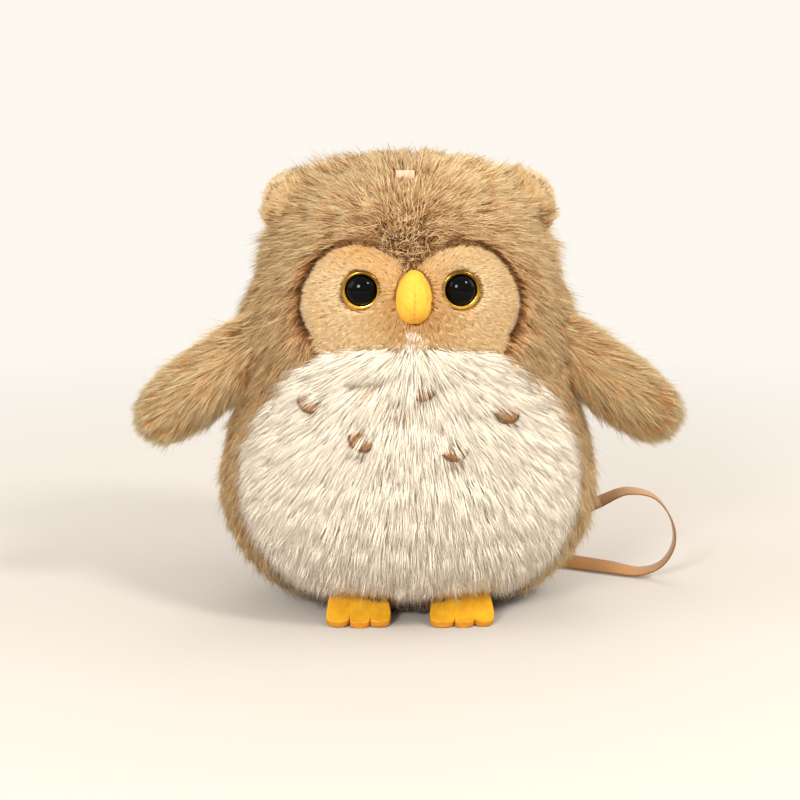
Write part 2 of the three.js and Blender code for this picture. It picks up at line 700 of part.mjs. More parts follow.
function ribbonGeometry() {
  const middles = ribbonRoute.map(([x, y, z]) => new THREE.Vector3(x, y, z));
  const curve = new THREE.CatmullRomCurve3(middles, false, 'centripetal');
  const leanCurve = new THREE.SplineCurve(ribbonRoute.map((row, i) => new THREE.Vector2(i, row[3])));
  const length = curve.getLength();
  const steps = Math.round(length / ribbonStep);
  const corners = [];
  for (let i = 0; i <= steps; i++) {
    const along = curve.getUtoTmapping(i / steps);
    const point = curve.getPoint(along);
    const tangent = curve.getTangent(along);
    const lean = THREE.MathUtils.degToRad(leanCurve.getPoint(along).y);
    const width = new THREE.Vector3(0, Math.sin(lean), Math.cos(lean));
    width.addScaledVector(tangent, -width.dot(tangent)).normalize().multiplyScalar(ribbonWidth / 2);
    const face = new THREE.Vector3().crossVectors(tangent, width).setLength(ribbonThickness / 2);
    for (const [across, through] of [[1, 1], [-1, 1], [-1, -1], [1, -1]]) {
      const corner = point.clone().addScaledVector(width, across).addScaledVector(face, through);
      corners.push(corner.x, corner.y, corner.z);
    }
  }
  const ring = 4;
  const index = [];
  for (let i = 0; i < steps; i++) {
    for (let j = 0; j < ring; j++) {
      const a = i * ring + j;
      const b = i * ring + ((j + 1) % ring);
      index.push(a, b, b + ring, a, b + ring, a + ring);
    }
  }
  const end = steps * ring;
  index.push(0, 2, 1, 0, 3, 2, end, end + 1, end + 2, end, end + 2, end + 3);
  const geometry = new THREE.BufferGeometry();
  geometry.setAttribute('position', new THREE.Float32BufferAttribute(corners, 3));
  geometry.setIndex(index);
  console.log(`ribbon loop: ${length.toFixed(1)} mm long`);
  return geometry;
}

addPiece('ribbon_loop', solidOf(ribbonGeometry()), tanRibbon);

console.log(`wing hinge ${wingHingeSide.toFixed(2)} mm and ear middle ${earSide.toFixed(2)} mm to the side`);

export default owl;
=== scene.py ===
# %% [markdown]
# # A plush owl with a real pile
# A soft toy that sits on its flat base: brown long pile on head, sides and back, a cream belly, a short
# sand-coloured face, felt feet, a sewn beak and button eyes. The CAD model says where every panel is.
# Blender gives each panel its looks: a backing cloth just under the CAD surface, and thousands of hairs.

# %% Load the frame
import math

import bmesh
import bpy
import numpy as np
from mathutils import Matrix, Vector
from mathutils.bvhtree import BVHTree
from mathutils.kdtree import KDTree


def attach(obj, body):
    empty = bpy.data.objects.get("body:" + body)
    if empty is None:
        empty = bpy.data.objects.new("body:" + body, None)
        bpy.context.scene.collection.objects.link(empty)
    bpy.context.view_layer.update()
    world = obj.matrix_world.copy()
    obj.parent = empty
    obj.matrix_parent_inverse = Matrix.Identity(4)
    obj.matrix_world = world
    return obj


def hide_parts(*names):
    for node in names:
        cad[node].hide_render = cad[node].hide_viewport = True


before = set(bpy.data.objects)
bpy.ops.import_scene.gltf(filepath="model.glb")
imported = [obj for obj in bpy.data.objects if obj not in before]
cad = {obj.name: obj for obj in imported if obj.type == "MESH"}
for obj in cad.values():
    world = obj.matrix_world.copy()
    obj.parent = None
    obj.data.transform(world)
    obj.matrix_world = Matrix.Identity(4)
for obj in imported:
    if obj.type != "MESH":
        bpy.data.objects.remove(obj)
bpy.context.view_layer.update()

scene = bpy.context.scene
MM = 0.001

# %% [markdown]
# ## Camera
# The photograph was taken from a little above the toy and almost straight in front. A long lens keeps the
# wings and feet in proportion, as it does in product photographs.

# %% Camera
camera_data = bpy.data.cameras.new("camera")
camera_data.sensor_width = 36
camera_data.lens = 88.15
camera = bpy.data.objects.new("camera", camera_data)
scene.collection.objects.link(camera)
look_at = Vector((-0.004, 0, 0.098))
turn, rise = math.radians(-1), math.radians(11)
back = Vector((math.sin(turn) * math.cos(rise), -math.cos(turn) * math.cos(rise), math.sin(rise)))
camera.location = look_at + back * 0.95
camera.rotation_mode = "QUATERNION"
camera.rotation_quaternion = (-back).to_track_quat("-Z", "Y")
scene.camera = camera
print("camera at", [round(v, 3) for v in camera.location])

# %% [markdown]
# ## Helpers for pieces
# Every piece ends as a mesh at the origin with its place in its vertices. One helper turns a bmesh into a
# finished piece that rides on its body and stands for its CAD nodes.

# %% Finished pieces
def settle(piece, body, replaced, smooth_angle=None):
    """Smooths a piece, lets it ride on its body and stand for its CAD nodes."""
    piece.data.polygons.foreach_set("use_smooth", [smooth_angle != 0] * len(piece.data.polygons))
    if smooth_angle:
        piece.data.set_sharp_from_angle(angle=math.radians(smooth_angle))
    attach(piece, body)
    if replaced:
        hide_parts(*replaced)
    return piece


def piece_from(bm, name, materials, body, replaced=(), smooth_angle=40):
    """Writes a bmesh to a new object."""
    mesh = bpy.data.meshes.new(name)
    bm.to_mesh(mesh)
    bm.free()
    for material in materials:
        mesh.materials.append(material)
    piece = bpy.data.objects.new(name, mesh)
    scene.collection.objects.link(piece)
    settle(piece, body, replaced, smooth_angle)
    print(f"{name}: {len(mesh.polygons)} faces")
    return piece


def merged_copy(node):
    """A bmesh of a CAD node with its loose triangles joined."""
    bm = bmesh.new()
    bm.from_mesh(cad[node].data)
    bmesh.ops.remove_doubles(bm, verts=bm.verts, dist=0.00002)
    return bm


# %% [markdown]
# ## Helpers for materials
# Colours are written as they look on a screen and turned into the linear values that the renderer uses.

# %% Material helpers
def shade_of(red, green, blue):
    """A screen colour, 0 to 255, as a linear colour."""
    linear = [(v / 255 / 12.92) if v <= 10 else ((v / 255 + 0.055) / 1.055) ** 2.4 for v in (red, green, blue)]
    return (*linear, 1)


def material(name, roughness, **sockets):
    """A material with its Principled shader; returns the material, its node tree and the shader."""
    made = bpy.data.materials.new(name)
    made.use_nodes = True
    shader = made.node_tree.nodes["Principled BSDF"]
    shader.inputs["Roughness"].default_value = roughness
    for socket, value in sockets.items():
        shader.inputs[socket.replace("_", " ")].default_value = value
    return made, made.node_tree, shader


def mix(tree, factor, first, second):
    """Mixes two colours; each input is a socket or a value."""
    node = tree.nodes.new("ShaderNodeMix")
    node.data_type = "RGBA"
    for socket, value in ((node.inputs[0], factor), (node.inputs[6], first), (node.inputs[7], second)):
        if isinstance(value, bpy.types.NodeSocket):
            tree.links.new(value, socket)
        else:
            socket.default_value = value
    return node.outputs[2]


def noise(tree, coordinates, scale, detail=2.0, roughness=0.5):
    """A noise value over the given coordinates."""
    node = tree.nodes.new("ShaderNodeTexNoise")
    node.inputs["Scale"].default_value = scale
    node.inputs["Detail"].default_value = detail
    node.inputs["Roughness"].default_value = roughness
    tree.links.new(coordinates, node.inputs["Vector"])
    return node.outputs["Fac"]


def spread(tree, value, low, high, to_low=0.0, to_high=1.0):
    """Stretches a value so that low becomes to_low and high becomes to_high."""
    node = tree.nodes.new("ShaderNodeMapRange")
    for socket, number in zip(("From Min", "From Max", "To Min", "To Max"), (low, high, to_low, to_high)):
        node.inputs[socket].default_value = number
    tree.links.new(value, node.inputs["Value"])
    return node.outputs["Result"]


def bump(tree, shader, height, distance, strength=1.0):
    """Feeds a height to the shader's normal."""
    node = tree.nodes.new("ShaderNodeBump")
    node.inputs["Strength"].default_value = strength
    node.inputs["Distance"].default_value = distance
    tree.links.new(height, node.inputs["Height"])
    tree.links.new(node.outputs["Normal"], shader.inputs["Normal"])


def object_coordinates(tree, stretch=(1, 1, 1)):
    """Object coordinates, stretched."""
    place = tree.nodes.new("ShaderNodeTexCoord")
    mapping = tree.nodes.new("ShaderNodeMapping")
    mapping.inputs["Scale"].default_value = stretch
    tree.links.new(place.outputs["Object"], mapping.inputs["Vector"])
    return mapping.outputs["Vector"]


# %% [markdown]
# ## Ribbon loop
# A flat tan ribbon, 8 mm wide, is sewn into the back seam with both ends. It stands up in an arch beside
# the owl, turns on its edge at the far side and lies down on its way back. Its route is the CAD model's,
# and the band is made by extruding one small end face from place to place along it.

# %% Ribbon route
ribbon_route = [
    (0, 0.0757, 0.042, 20), (0.003, 0.080, 0.0415, 15), (0.018, 0.086, 0.039, 8), (0.042, 0.082, 0.033, 14),
    (0.066, 0.068, 0.027, 20), (0.084, 0.053, 0.0275, 30), (0.098, 0.042, 0.036, 52), (0.112, 0.033, 0.044, 78),
    (0.125, 0.026, 0.0425, 88), (0.133, 0.022, 0.032, 88), (0.1345, 0.021, 0.020, 92), (0.129, 0.024, 0.0085, 88),
    (0.119, 0.029, 0.003, 76), (0.104, 0.036, 0.0033, 58), (0.084, 0.046, 0.0037, 48), (0.062, 0.060, 0.0042, 42),
    (0.040, 0.074, 0.0065, 32), (0.020, 0.082, 0.014, 28), (0.007, 0.0775, 0.0205, 33),
    (0.001, 0.0708, 0.0258, 36.5), (0, 0.0679, 0.0279, 37),
]
ribbon_width, ribbon_thickness = 8 * MM, 0.8 * MM


def smooth_route(route, spacing):
    """Points along one smooth line through the route, evenly spaced, each with its lean in radians."""
    rows = np.array(route, float)
    ends = np.vstack([2 * rows[0] - rows[1], rows, 2 * rows[-1] - rows[-2]])[:, :3]
    dense, leans = [], []
    for i in range(len(rows) - 1):
        a, b, c, d = ends[i:i + 4]
        knots = np.cumsum([0] + [np.linalg.norm(q - p) ** 0.5 for p, q in ((a, b), (b, c), (c, d))])
        for share in np.linspace(0, 1, 24, endpoint=i == len(rows) - 2):
            t = knots[1] + share * (knots[2] - knots[1])
            between = lambda p, q, i0, i1: ((knots[i1] - t) * p + (t - knots[i0]) * q) / (knots[i1] - knots[i0])
            ab, bc, cd = between(a, b, 0, 1), between(b, c, 1, 2), between(c, d, 2, 3)
            dense.append(between(between(ab, bc, 0, 2), between(bc, cd, 1, 3), 1, 2))
            leans.append((1 - share) * rows[i, 3] + share * rows[i + 1, 3])
    dense = np.array(dense)
    gone = np.concatenate([[0], np.cumsum(np.linalg.norm(np.diff(dense, axis=0), axis=1))])
    stops = np.linspace(0, gone[-1], round(gone[-1] / spacing) + 1)
    points = np.stack([np.interp(stops, gone, dense[:, k]) for k in range(3)], 1)
    return points, np.radians(np.interp(stops, gone, leans)), gone[-1]


ribbon_points, ribbon_leans, ribbon_length = smooth_route(ribbon_route, 1.6 * MM)
print(f"ribbon: {ribbon_length / MM:.1f} mm long in {len(ribbon_points)} points")

# %% [markdown]
# ### Ribbon cloth
# Satin ribbon shines in bands that run with its length, because long threads lie side by side. The two
# edges are woven tighter and look a little darker. The pattern follows two attributes that the mesh
# carries: how far across and how far along each point is.

# %% Ribbon cloth
ribbon_cloth, tree, shader = material("ribbon satin", 0.42, Sheen_Weight=0.15, Specular_IOR_Level=0.4)
across = tree.nodes.new("ShaderNodeAttribute")
across.attribute_name = "across"
along = tree.nodes.new("ShaderNodeAttribute")
along.attribute_name = "along"
place = tree.nodes.new("ShaderNodeCombineXYZ")
tree.links.new(across.outputs["Fac"], place.inputs["X"])
tree.links.new(along.outputs["Fac"], place.inputs["Y"])
threads = noise(tree, place.outputs["Vector"], 46, 3, 0.6)
edge = tree.nodes.new("ShaderNodeMath")
edge.operation = "PINGPONG"
edge.inputs[1].default_value = 0.5
tree.links.new(across.outputs["Fac"], edge.inputs[0])
selvedge = spread(tree, edge.outputs[0], 0.02, 0.09)
face_colour = mix(tree, spread(tree, threads, 0.3, 0.7), shade_of(156, 104, 50), shade_of(186, 136, 78))
colour = mix(tree, selvedge, shade_of(134, 86, 40), face_colour)
tree.links.new(colour, shader.inputs["Base Color"])
ribs = tree.nodes.new("ShaderNodeTexWave")
ribs.bands_direction = "Y"
ribs.inputs["Scale"].default_value = 55
ribs.inputs["Distortion"].default_value = 0.6
tree.links.new(place.outputs["Vector"], ribs.inputs["Vector"])
tree.links.new(spread(tree, threads, 0.3, 0.7, 0.34, 0.52), shader.inputs["Roughness"])
bump(tree, shader, ribs.outputs["Fac"], 0.00008, 0.5)


# %% Ribbon band
def band(points, leans, width, thickness):
    """Extrudes the end face of a flat band from point to point."""
    bm = bmesh.new()
    across_layer = bm.verts.layers.float.new("across")
    along_layer = bm.verts.layers.float.new("along")
    half, thick = width / 2, thickness / 2
    ring = [(-half, -thick / 2), (thick - half, -thick), (half - thick, -thick), (half, -thick / 2),
            (half, thick / 2), (half - thick, thick), (thick - half, thick), (-half, thick / 2)]
    heading = np.gradient(points, axis=0)
    end, corners, gone = None, [], 0.0
    for i, (point, lean) in enumerate(zip(points, leans)):
        tangent = Vector(heading[i]).normalized()
        wide = Vector((0, math.sin(lean), math.cos(lean)))
        wide = (wide - tangent * wide.dot(tangent)).normalized()
        flat = tangent.cross(wide)
        places = [Vector(point) + wide * a + flat * b for a, b in ring]
        if end is None:
            corners = [bm.verts.new(p) for p in places]
            end = bm.faces.new(corners)
        else:
            gone += (Vector(point) - Vector(points[i - 1])).length
            grown = bmesh.ops.extrude_face_region(bm, geom=[end])["geom"]
            end = next(g for g in grown if isinstance(g, bmesh.types.BMFace))
            fresh = [min(end.verts, key=lambda v, c=c: (v.co - c.co).length) for c in corners]
            for vert, p in zip(fresh, places):
                vert.co = p
            corners = fresh
        for vert, (a, _) in zip(corners, ring):
            vert[across_layer] = a / width + 0.5
            vert[along_layer] = gone / width
    bmesh.ops.recalc_face_normals(bm, faces=bm.faces)
    return bm


ribbon = piece_from(band(ribbon_points, ribbon_leans, ribbon_width, ribbon_thickness), "ribbon_loop_satin",
                    [ribbon_cloth], "body", ["ribbon_loop"], 50)

# %% [markdown]
# ## The form under the pile
# Head and body are one pear. The CAD model turns it from a table of widths and heights, and the same table
# here gives the direction that stands straight out of the cloth at any point. Every hair needs it.

# %% Body form
height, half_width = 218 * MM, 91 * MM
profile_shares = np.array([
    (0.505, 0), (0.604, 0.014), (0.692, 0.037), (0.769, 0.064), (0.852, 0.101), (0.923, 0.147), (0.978, 0.206),
    (1, 0.266), (0.984, 0.33), (0.945, 0.404), (0.89, 0.482), (0.857, 0.56), (0.835, 0.633), (0.813, 0.697),
    (0.78, 0.757), (0.736, 0.812), (0.678, 0.862), (0.61, 0.904), (0.53, 0.94), (0.43, 0.968), (0.3, 0.989),
    (0.15, 0.998), (0, 1),
])
depth_shares = np.array([
    (0, 0.64), (0.046, 0.7), (0.078, 0.76), (0.128, 0.82), (0.183, 0.85), (0.55, 0.87), (0.78, 0.9), (1, 0.9),
])


def girth(z):
    """Half the width and half the depth of the body at each height."""
    share = np.clip(z / height, 0, 1)
    width = half_width * np.interp(share, profile_shares[:, 1], profile_shares[:, 0])
    width = np.maximum(width, 0.5 * MM)
    return width, width * np.interp(share, depth_shares[:, 0], depth_shares[:, 1])


def unit(vectors):
    """Vectors brought to length 1."""
    return vectors / np.maximum(np.linalg.norm(vectors, axis=1, keepdims=True), 1e-12)


def ellipse_out(side, depth, a, b, slope_a, slope_b):
    """The direction out of a form whose slices are ellipses: across, through and along."""
    return side / a**2, depth / b**2, -(side**2 * slope_a / a**3 + depth**2 * slope_b / b**3)


def out_of_body(points):
    """The direction straight out of the body at each point."""
    step = 1.5 * MM
    width, depth = girth(points[:, 2])
    high, low = girth(points[:, 2] + step), girth(points[:, 2] - step)
    slopes = [(h - l) / (2 * step) for h, l in zip(high, low)]
    return unit(np.stack(ellipse_out(points[:, 0], points[:, 1], width, depth, *slopes), 1))


# %% [markdown]
# ### Wings and ears
# A wing is a flat stuffed flap that droops at 38 degrees, and an ear is a thin rounded pad. Each has its
# own direction out, worked out in its own frame.

# %% Wing and ear forms
wing_droop, wing_length, wing_half_chord, wing_half_thickness = math.radians(38), 89 * MM, 16 * MM, 8 * MM
wing_profile = np.array([(0.55, 0), (0.78, 0.1), (0.93, 0.28), (1, 0.5), (1, 0.7), (0.88, 0.85), (0.64, 0.94),
                         (0.33, 0.985), (0, 1)])
wing_swell = np.array([(0, 0.35), (0.2, 0.4), (0.45, 0.8), (0.65, 1), (1, 1)])
wing_root = (58.47 * MM, -14 * MM, 139.7 * MM)
ear_radius, ear_half_thickness, ear_middle = 15.5 * MM, 3.6 * MM, (52.97 * MM, -9 * MM, 194.5 * MM)


def wing_frame(side):
    """Root, chord direction and outward direction of a wing."""
    chord = np.array((side * math.sin(wing_droop), 0, math.cos(wing_droop)))
    out = np.array((side * math.cos(wing_droop), 0, -math.sin(wing_droop)))
    return np.array(wing_root) * (side, 1, 1), chord, out


def wing_slice(share):
    """Half chord and half thickness of a wing at a share of its length."""
    reach = np.interp(share, wing_profile[:, 1], wing_profile[:, 0])
    chord = np.maximum(reach * wing_half_chord, 0.5 * MM)
    return chord, np.maximum(chord / wing_half_chord * wing_half_thickness
                             * np.interp(share, wing_swell[:, 0], wing_swell[:, 1]), 0.3 * MM)


def out_of_wing(side):
    """Gives the function that finds the direction out of one wing."""
    root, chord, out = wing_frame(side)

    def direction(points):
        away = points - root
        share = away @ out / wing_length
        step = 0.01
        (a, b), high, low = wing_slice(share), wing_slice(share + step), wing_slice(share - step)
        slopes = [(h - l) / (2 * step * wing_length) for h, l in zip(high, low)]
        x, y, z = ellipse_out(away @ chord, away[:, 1], a, b, *slopes)
        return unit(x[:, None] * chord + y[:, None] * np.array((0, 1, 0)) + z[:, None] * out)

    return direction


def out_of_ear(side):
    """Gives the function that finds the direction out of one ear."""
    middle = np.array(ear_middle) * (side, 1, 1)
    radii = np.array((ear_radius, ear_half_thickness, ear_radius))
    return lambda points: unit((points - middle) / radii**2)


def edgewise(out):
    """The direction out of a flat part's rim: its direction out, kept square to its thickness."""
    return lambda points: unit(out(points) * (1, 0, 1))


def downwards(points):
    """Straight down, for the bottom of the base."""
    return np.tile((0.0, 0.0, -1.0), (len(points), 1))


# %% [markdown]
# ### Seams that hair respects
# Face and belly are cut out by closed lines in the front view. Hair of one panel covers only a little of
# the next one, so each line also says how far a point lies inside it.

# %% Panel outlines
def panel_outline(shares, half, low, high):
    """A closed line in the front view from shares of half its width and of its height."""
    right = [(x * half * MM, (low + up * (high - low)) * MM) for x, up in shares]
    left = [(-x, z) for x, z in reversed(right) if x > 0]
    return np.array(right + left)


face_line = panel_outline([(0, .8), (.106, .903), (.279, .973), (.5, 1), (.731, .938), (.894, .788), (.99, .602),
                           (1, .407), (.942, .265), (.846, .159), (.73, 0), (0, 0)], 52, 126, 182.5)
belly_line = panel_outline([(0, 1), (.23, .98), (.46, .955), (.61, .9), (.72, .824), (.823, .744), (.911, .66),
                            (.981, .552), (1, .44), (.981, .328), (.911, .216), (.81, .112), (.658, .028),
                            (.5, -.06), (0, -.06)], 79, 12, 137)


def inside(points, line):
    """How far each point lies inside a closed line in the front view; outside it is negative."""
    spot = points[:, [0, 2]][:, None]
    start, end = line[None], np.roll(line, -1, 0)[None]
    run = end - start
    share = np.clip(((spot - start) * run).sum(2) / np.maximum((run**2).sum(2), 1e-18), 0, 1)
    gap = np.linalg.norm(spot - start - share[..., None] * run, axis=2).min(1)
    rising = (start[..., 1] > spot[..., 1]) != (end[..., 1] > spot[..., 1])
    at = start[..., 0] + (spot[..., 1] - start[..., 1]) * run[..., 0] / np.where(run[..., 1] == 0, 1, run[..., 1])
    odd = (rising & (spot[..., 0] < at)).sum(1) % 2 == 1
    return np.where(odd, gap, -gap)


# %% [markdown]
# ## Pile
# Plush is a cloth with hairs standing in it. Blender's own hair would vanish when the model is handed on as
# a mesh, so each hair is a thin spindle of six triangles. One hair is modelled, and then it is stamped on
# every root: it starts in the backing, bends over with the nap and leans towards the tip of its lock.
# A map holds each hair's shade from left to right, and its way from root to tip from bottom to top.

# %% One hair
bend_share = 0.45


def one_hair():
    """A three-sided spindle of length and width 1, widest where it bends."""
    bm = bmesh.new()
    bmesh.ops.create_uvsphere(bm, u_segments=3, v_segments=2, radius=0.5, matrix=Matrix.Translation((0, 0, 0.5)))
    ring = [v for v in bm.verts if abs(v.co.z - 0.5) < 0.1]
    bmesh.ops.translate(bm, verts=ring, vec=(0, 0, bend_share - 0.5))
    bmesh.ops.recalc_face_normals(bm, faces=bm.faces)
    bm.verts.index_update()
    corners = np.array([v.co for v in bm.verts])
    faces = [[v.index for v in face.verts] for face in bm.faces]
    bm.free()
    return corners, faces


hair_corners, hair_faces = one_hair()
print("one hair:", len(hair_corners), "corners and", len(hair_faces), "faces")


# %% Stamp the hairs
def stamp(name, base, middle, tip, sideways, upwards, width, shade):
    """Makes one mesh of many hairs, each bent through its base, middle and tip."""
    count, along = len(base), hair_corners[:, 2]
    to_middle = np.clip(1 - np.abs(along - bend_share) / bend_share, 0, 1)[None, :, None]
    to_tip = np.clip((along - bend_share) / (1 - bend_share), 0, 1)[None, :, None]
    spine = base[:, None] * (1 - to_middle - to_tip) + middle[:, None] * to_middle + tip[:, None] * to_tip
    corners = (spine + sideways[:, None] * hair_corners[None, :, 1:2] * width[:, None, None]
               - upwards[:, None] * hair_corners[None, :, :1] * (0.6 * width)[:, None, None])
    loops = np.concatenate(hair_faces)
    sizes = np.array([len(face) for face in hair_faces])
    mesh = bpy.data.meshes.new(name)
    mesh.vertices.add(count * len(along))
    mesh.vertices.foreach_set("co", corners.astype(np.float32).ravel())
    mesh.loops.add(count * len(loops))
    every = loops[None, :] + (np.arange(count) * len(along))[:, None]
    mesh.loops.foreach_set("vertex_index", every.astype(np.int32).ravel())
    mesh.polygons.add(count * len(sizes))
    starts = np.concatenate([[0], np.cumsum(sizes)[:-1]])
    mesh.polygons.foreach_set("loop_start",
                              (starts[None, :] + (np.arange(count) * len(loops))[:, None]).astype(np.int32).ravel())
    mesh.update(calc_edges=True)
    map_u = shade[:, None] + 0.016 * hair_corners[loops, 0][None, :]
    map_v = np.tile(0.01 + 0.98 * along[loops] + 0.012 * hair_corners[loops, 1], (count, 1))
    hair_map = mesh.uv_layers.new(name="OFBake")
    hair_map.data.foreach_set("uv", np.stack([map_u, map_v], 2).astype(np.float32).ravel())
    return mesh


def spots(node, count, out, rng):
    """Random points on the outside of a CAD node, evenly spread over its area."""
    mesh = cad[node].data
    mesh.calc_loop_triangles()
    corners = np.empty(len(mesh.vertices) * 3)
    mesh.vertices.foreach_get("co", corners)
    rows = np.empty(len(mesh.loop_triangles) * 3, np.int32)
    mesh.loop_triangles.foreach_get("vertices", rows)
    a, b, c = corners.reshape(-1, 3)[rows.reshape(-1, 3)].transpose(1, 0, 2)
    cross = np.cross(b - a, c - a)
    area = np.linalg.norm(cross, axis=1) / 2
    outward = (unit(cross) * out((a + b + c) / 3)).sum(1) > 0.5
    area = np.where(outward, area, 0)
    pick = rng.choice(len(area), count, p=area / area.sum())
    u, v = rng.random(count), rng.random(count)
    flip = u + v > 1
    u[flip], v[flip] = 1 - u[flip], 1 - v[flip]
    return a[pick] + u[:, None] * (b - a)[pick] + v[:, None] * (c - a)[pick], area.sum()


def turned(vectors, axes, angles):
    """Each vector turned about its axis, to which it is square."""
    return vectors * np.cos(angles)[:, None] + np.cross(axes, vectors) * np.sin(angles)[:, None]


def nearest(points, centres):
    """Which centre is nearest to each point."""
    tree = KDTree(len(centres))
    for i, centre in enumerate(centres):
        tree.insert(centre, i)
    tree.balance()
    return np.array([tree.find(point)[1] for point in points])


# %% [markdown]
# ### Combing
# The nap is a field of directions on the cloth. Hairs stand in locks: each lock turns a little to one side,
# has a shade of its own and draws its hairs together at the tip, which leaves darker lines between locks.

# %% Comb a panel
def comb(name, panels, out, nap, length, material, body, slot, replaces, seed, root_depth=6 * MM, lift=0.5,
         lean=0.62, width=0.42 * MM, lock=28, draw=0.45, stray=0.16, mess=None, tone=None, keep=None, fill=0.6,
         reach_back=0.0, bounds=(), wild=0.02, tangent=1.0, contrast=0.12, sway=0.13):
    """Grows hairs on the outside of some CAD panels. panels is a list of (CAD node, number of hairs).
    reach_back moves each root back against the nap, as a share of the hair's length. bounds is a list of
    (field, allowance): no tip goes further into a field than the allowance. tangent below 1 lets hair at an
    edge stand out along the nap."""
    rng = np.random.default_rng(seed)
    found = [spots(node, count, out, rng) for node, count in panels]
    on_top = np.concatenate([points for points, _ in found])
    on_top = on_top[rng.permutation(len(on_top))]
    if keep is not None:
        on_top = on_top[keep(on_top)]
    count = len(on_top)
    normal = out(on_top)
    flow = nap(on_top, normal)
    flow = unit(flow - normal * tangent * (flow * normal).sum(1)[:, None])
    lock_count = max(count // lock, 1)
    member = nearest(on_top, on_top[:lock_count])
    muss = np.ones(count) if mess is None else mess(on_top)
    lock_turn = rng.normal(0, sway, lock_count)[member] * muss
    hair_turn = rng.normal(0, stray, count) * muss
    flow = turned(flow, normal, lock_turn + hair_turn)
    long = length(on_top) if callable(length) else np.full(count, length)
    long = long * rng.uniform(0.72, 1.12, count) * (1 + 0.12 * rng.normal(0, 1, lock_count))[member]
    rise = (lift(on_top) if callable(lift) else lift) * (1 + 0.22 * rng.normal(0, 1, lock_count)[member]
                                                        + 0.2 * rng.normal(0, 1, count))
    rise = np.where(rng.random(count) < wild, rng.uniform(0.5, 0.95, count), np.clip(rise, 0.08, 0.95))[:, None]
    base = on_top - normal * root_depth - flow * (reach_back * long)[:, None]
    course = unit(normal * rise + flow * np.sqrt(1 - 0.8 * rise**2))
    for field, allowance in bounds:
        start, end = field(on_top), field(base + long[:, None] * course)
        share = (allowance * rng.uniform(0.3, 1.6, count) - start) / np.maximum(end - start, 1e-9)
        long = np.where((end > allowance) & (end > start), long * np.clip(share, 0.3, 1), long)
    middle = base + bend_share * long[:, None] * unit(normal * (lean + 0.35 * rise) + flow * 0.8)
    tip = base + long[:, None] * course
    lock_tip, lock_middle = tip[member], middle[member]
    pull = draw * rng.uniform(0.5, 1.2, count)[:, None]
    tip = tip + (lock_tip - tip) * pull
    middle = middle + (lock_middle - middle) * pull * 0.35
    for place in (base, middle, tip):
        place[:, 2] = np.maximum(place[:, 2], 0.45 * MM)
    along = unit(tip - base)
    sideways = unit(np.cross(along, normal))
    upwards = np.cross(sideways, along)
    wide = width * rng.uniform(0.75, 1.2, count)
    shade = 0.5 + contrast * (0.6 * rng.normal(0, 1, lock_count)[member] + 1.3 * rng.normal(0, 1, count))
    if tone is not None:
        shade = shade + tone(on_top)
    mesh = stamp(name, base, middle, tip, sideways, upwards, wide, np.clip(shade, 0.02, 0.98))
    mesh.materials.append(material)
    pile = bpy.data.objects.new(name, mesh)
    scene.collection.objects.link(pile)
    settle(pile, body, replaces)
    print(f"{name}: {count} hairs on {sum(area for _, area in found) * 1e4:.0f} cm2, {len(mesh.polygons)} faces")
    return pile


# %% [markdown]
# ### Backing cloth
# Under the pile lies the knitted cloth that holds it. It is the CAD panel with its outside drawn in by the
# depth of the pile, so the seams stay where the pattern cutter put them.

# %% Backing
def backing(node, out, depth, material, body, floor=0.6 * MM):
    """The CAD panel with its outside drawn in to where the hairs are rooted."""
    bm = merged_copy(node)
    bm.normal_update()
    faces = [face for face in bm.faces]
    centres = np.array([face.calc_center_median() for face in faces])
    facing = (np.array([face.normal for face in faces]) * out(centres)).sum(1) > 0.5
    outer = {vert for face, on in zip(faces, facing) if on for vert in face.verts}
    rows = list(outer)
    inward = out(np.array([vert.co for vert in rows])) * depth
    for vert, step in zip(rows, inward):
        vert.co -= Vector(step)
    for vert in bm.verts:
        vert.co.z = max(vert.co.z, floor)
    return piece_from(bm, node + "_cloth", [material], body, [], 50)


# %% [markdown]
# ## Pile colours
# Every pile in the toy is dark at the root and light at the tip, and no two hairs are quite alike. One node
# group mixes four colours by the hair map: dark and light hairs, each from root to tip.

# %% Pile colours
def hair_tones():
    """A node group: two pairs of colours, mixed along and across the hair map."""
    group = bpy.data.node_groups.new("hair tones", "ShaderNodeTree")
    for name in ("Dark root", "Dark tip", "Light root", "Light tip"):
        group.interface.new_socket(name, in_out="INPUT", socket_type="NodeSocketColor")
    for name, value in (("Root end", 0.12), ("Tip start", 0.85)):
        group.interface.new_socket(name, in_out="INPUT", socket_type="NodeSocketFloat").default_value = value
    group.interface.new_socket("Colour", in_out="OUTPUT", socket_type="NodeSocketColor")
    entry = group.nodes.new("NodeGroupInput")
    leave = group.nodes.new("NodeGroupOutput")
    hair_map = group.nodes.new("ShaderNodeUVMap")
    hair_map.uv_map = "OFBake"
    split = group.nodes.new("ShaderNodeSeparateXYZ")
    group.links.new(hair_map.outputs["UV"], split.inputs["Vector"])
    climb = group.nodes.new("ShaderNodeMapRange")
    climb.interpolation_type = "SMOOTHSTEP"
    group.links.new(split.outputs["Y"], climb.inputs["Value"])
    group.links.new(entry.outputs["Root end"], climb.inputs["From Min"])
    group.links.new(entry.outputs["Tip start"], climb.inputs["From Max"])
    dark = mix(group, climb.outputs["Result"], entry.outputs["Dark root"], entry.outputs["Dark tip"])
    light = mix(group, climb.outputs["Result"], entry.outputs["Light root"], entry.outputs["Light tip"])
    group.links.new(mix(group, split.outputs["X"], dark, light), leave.inputs["Colour"])
    return group


tones = hair_tones()


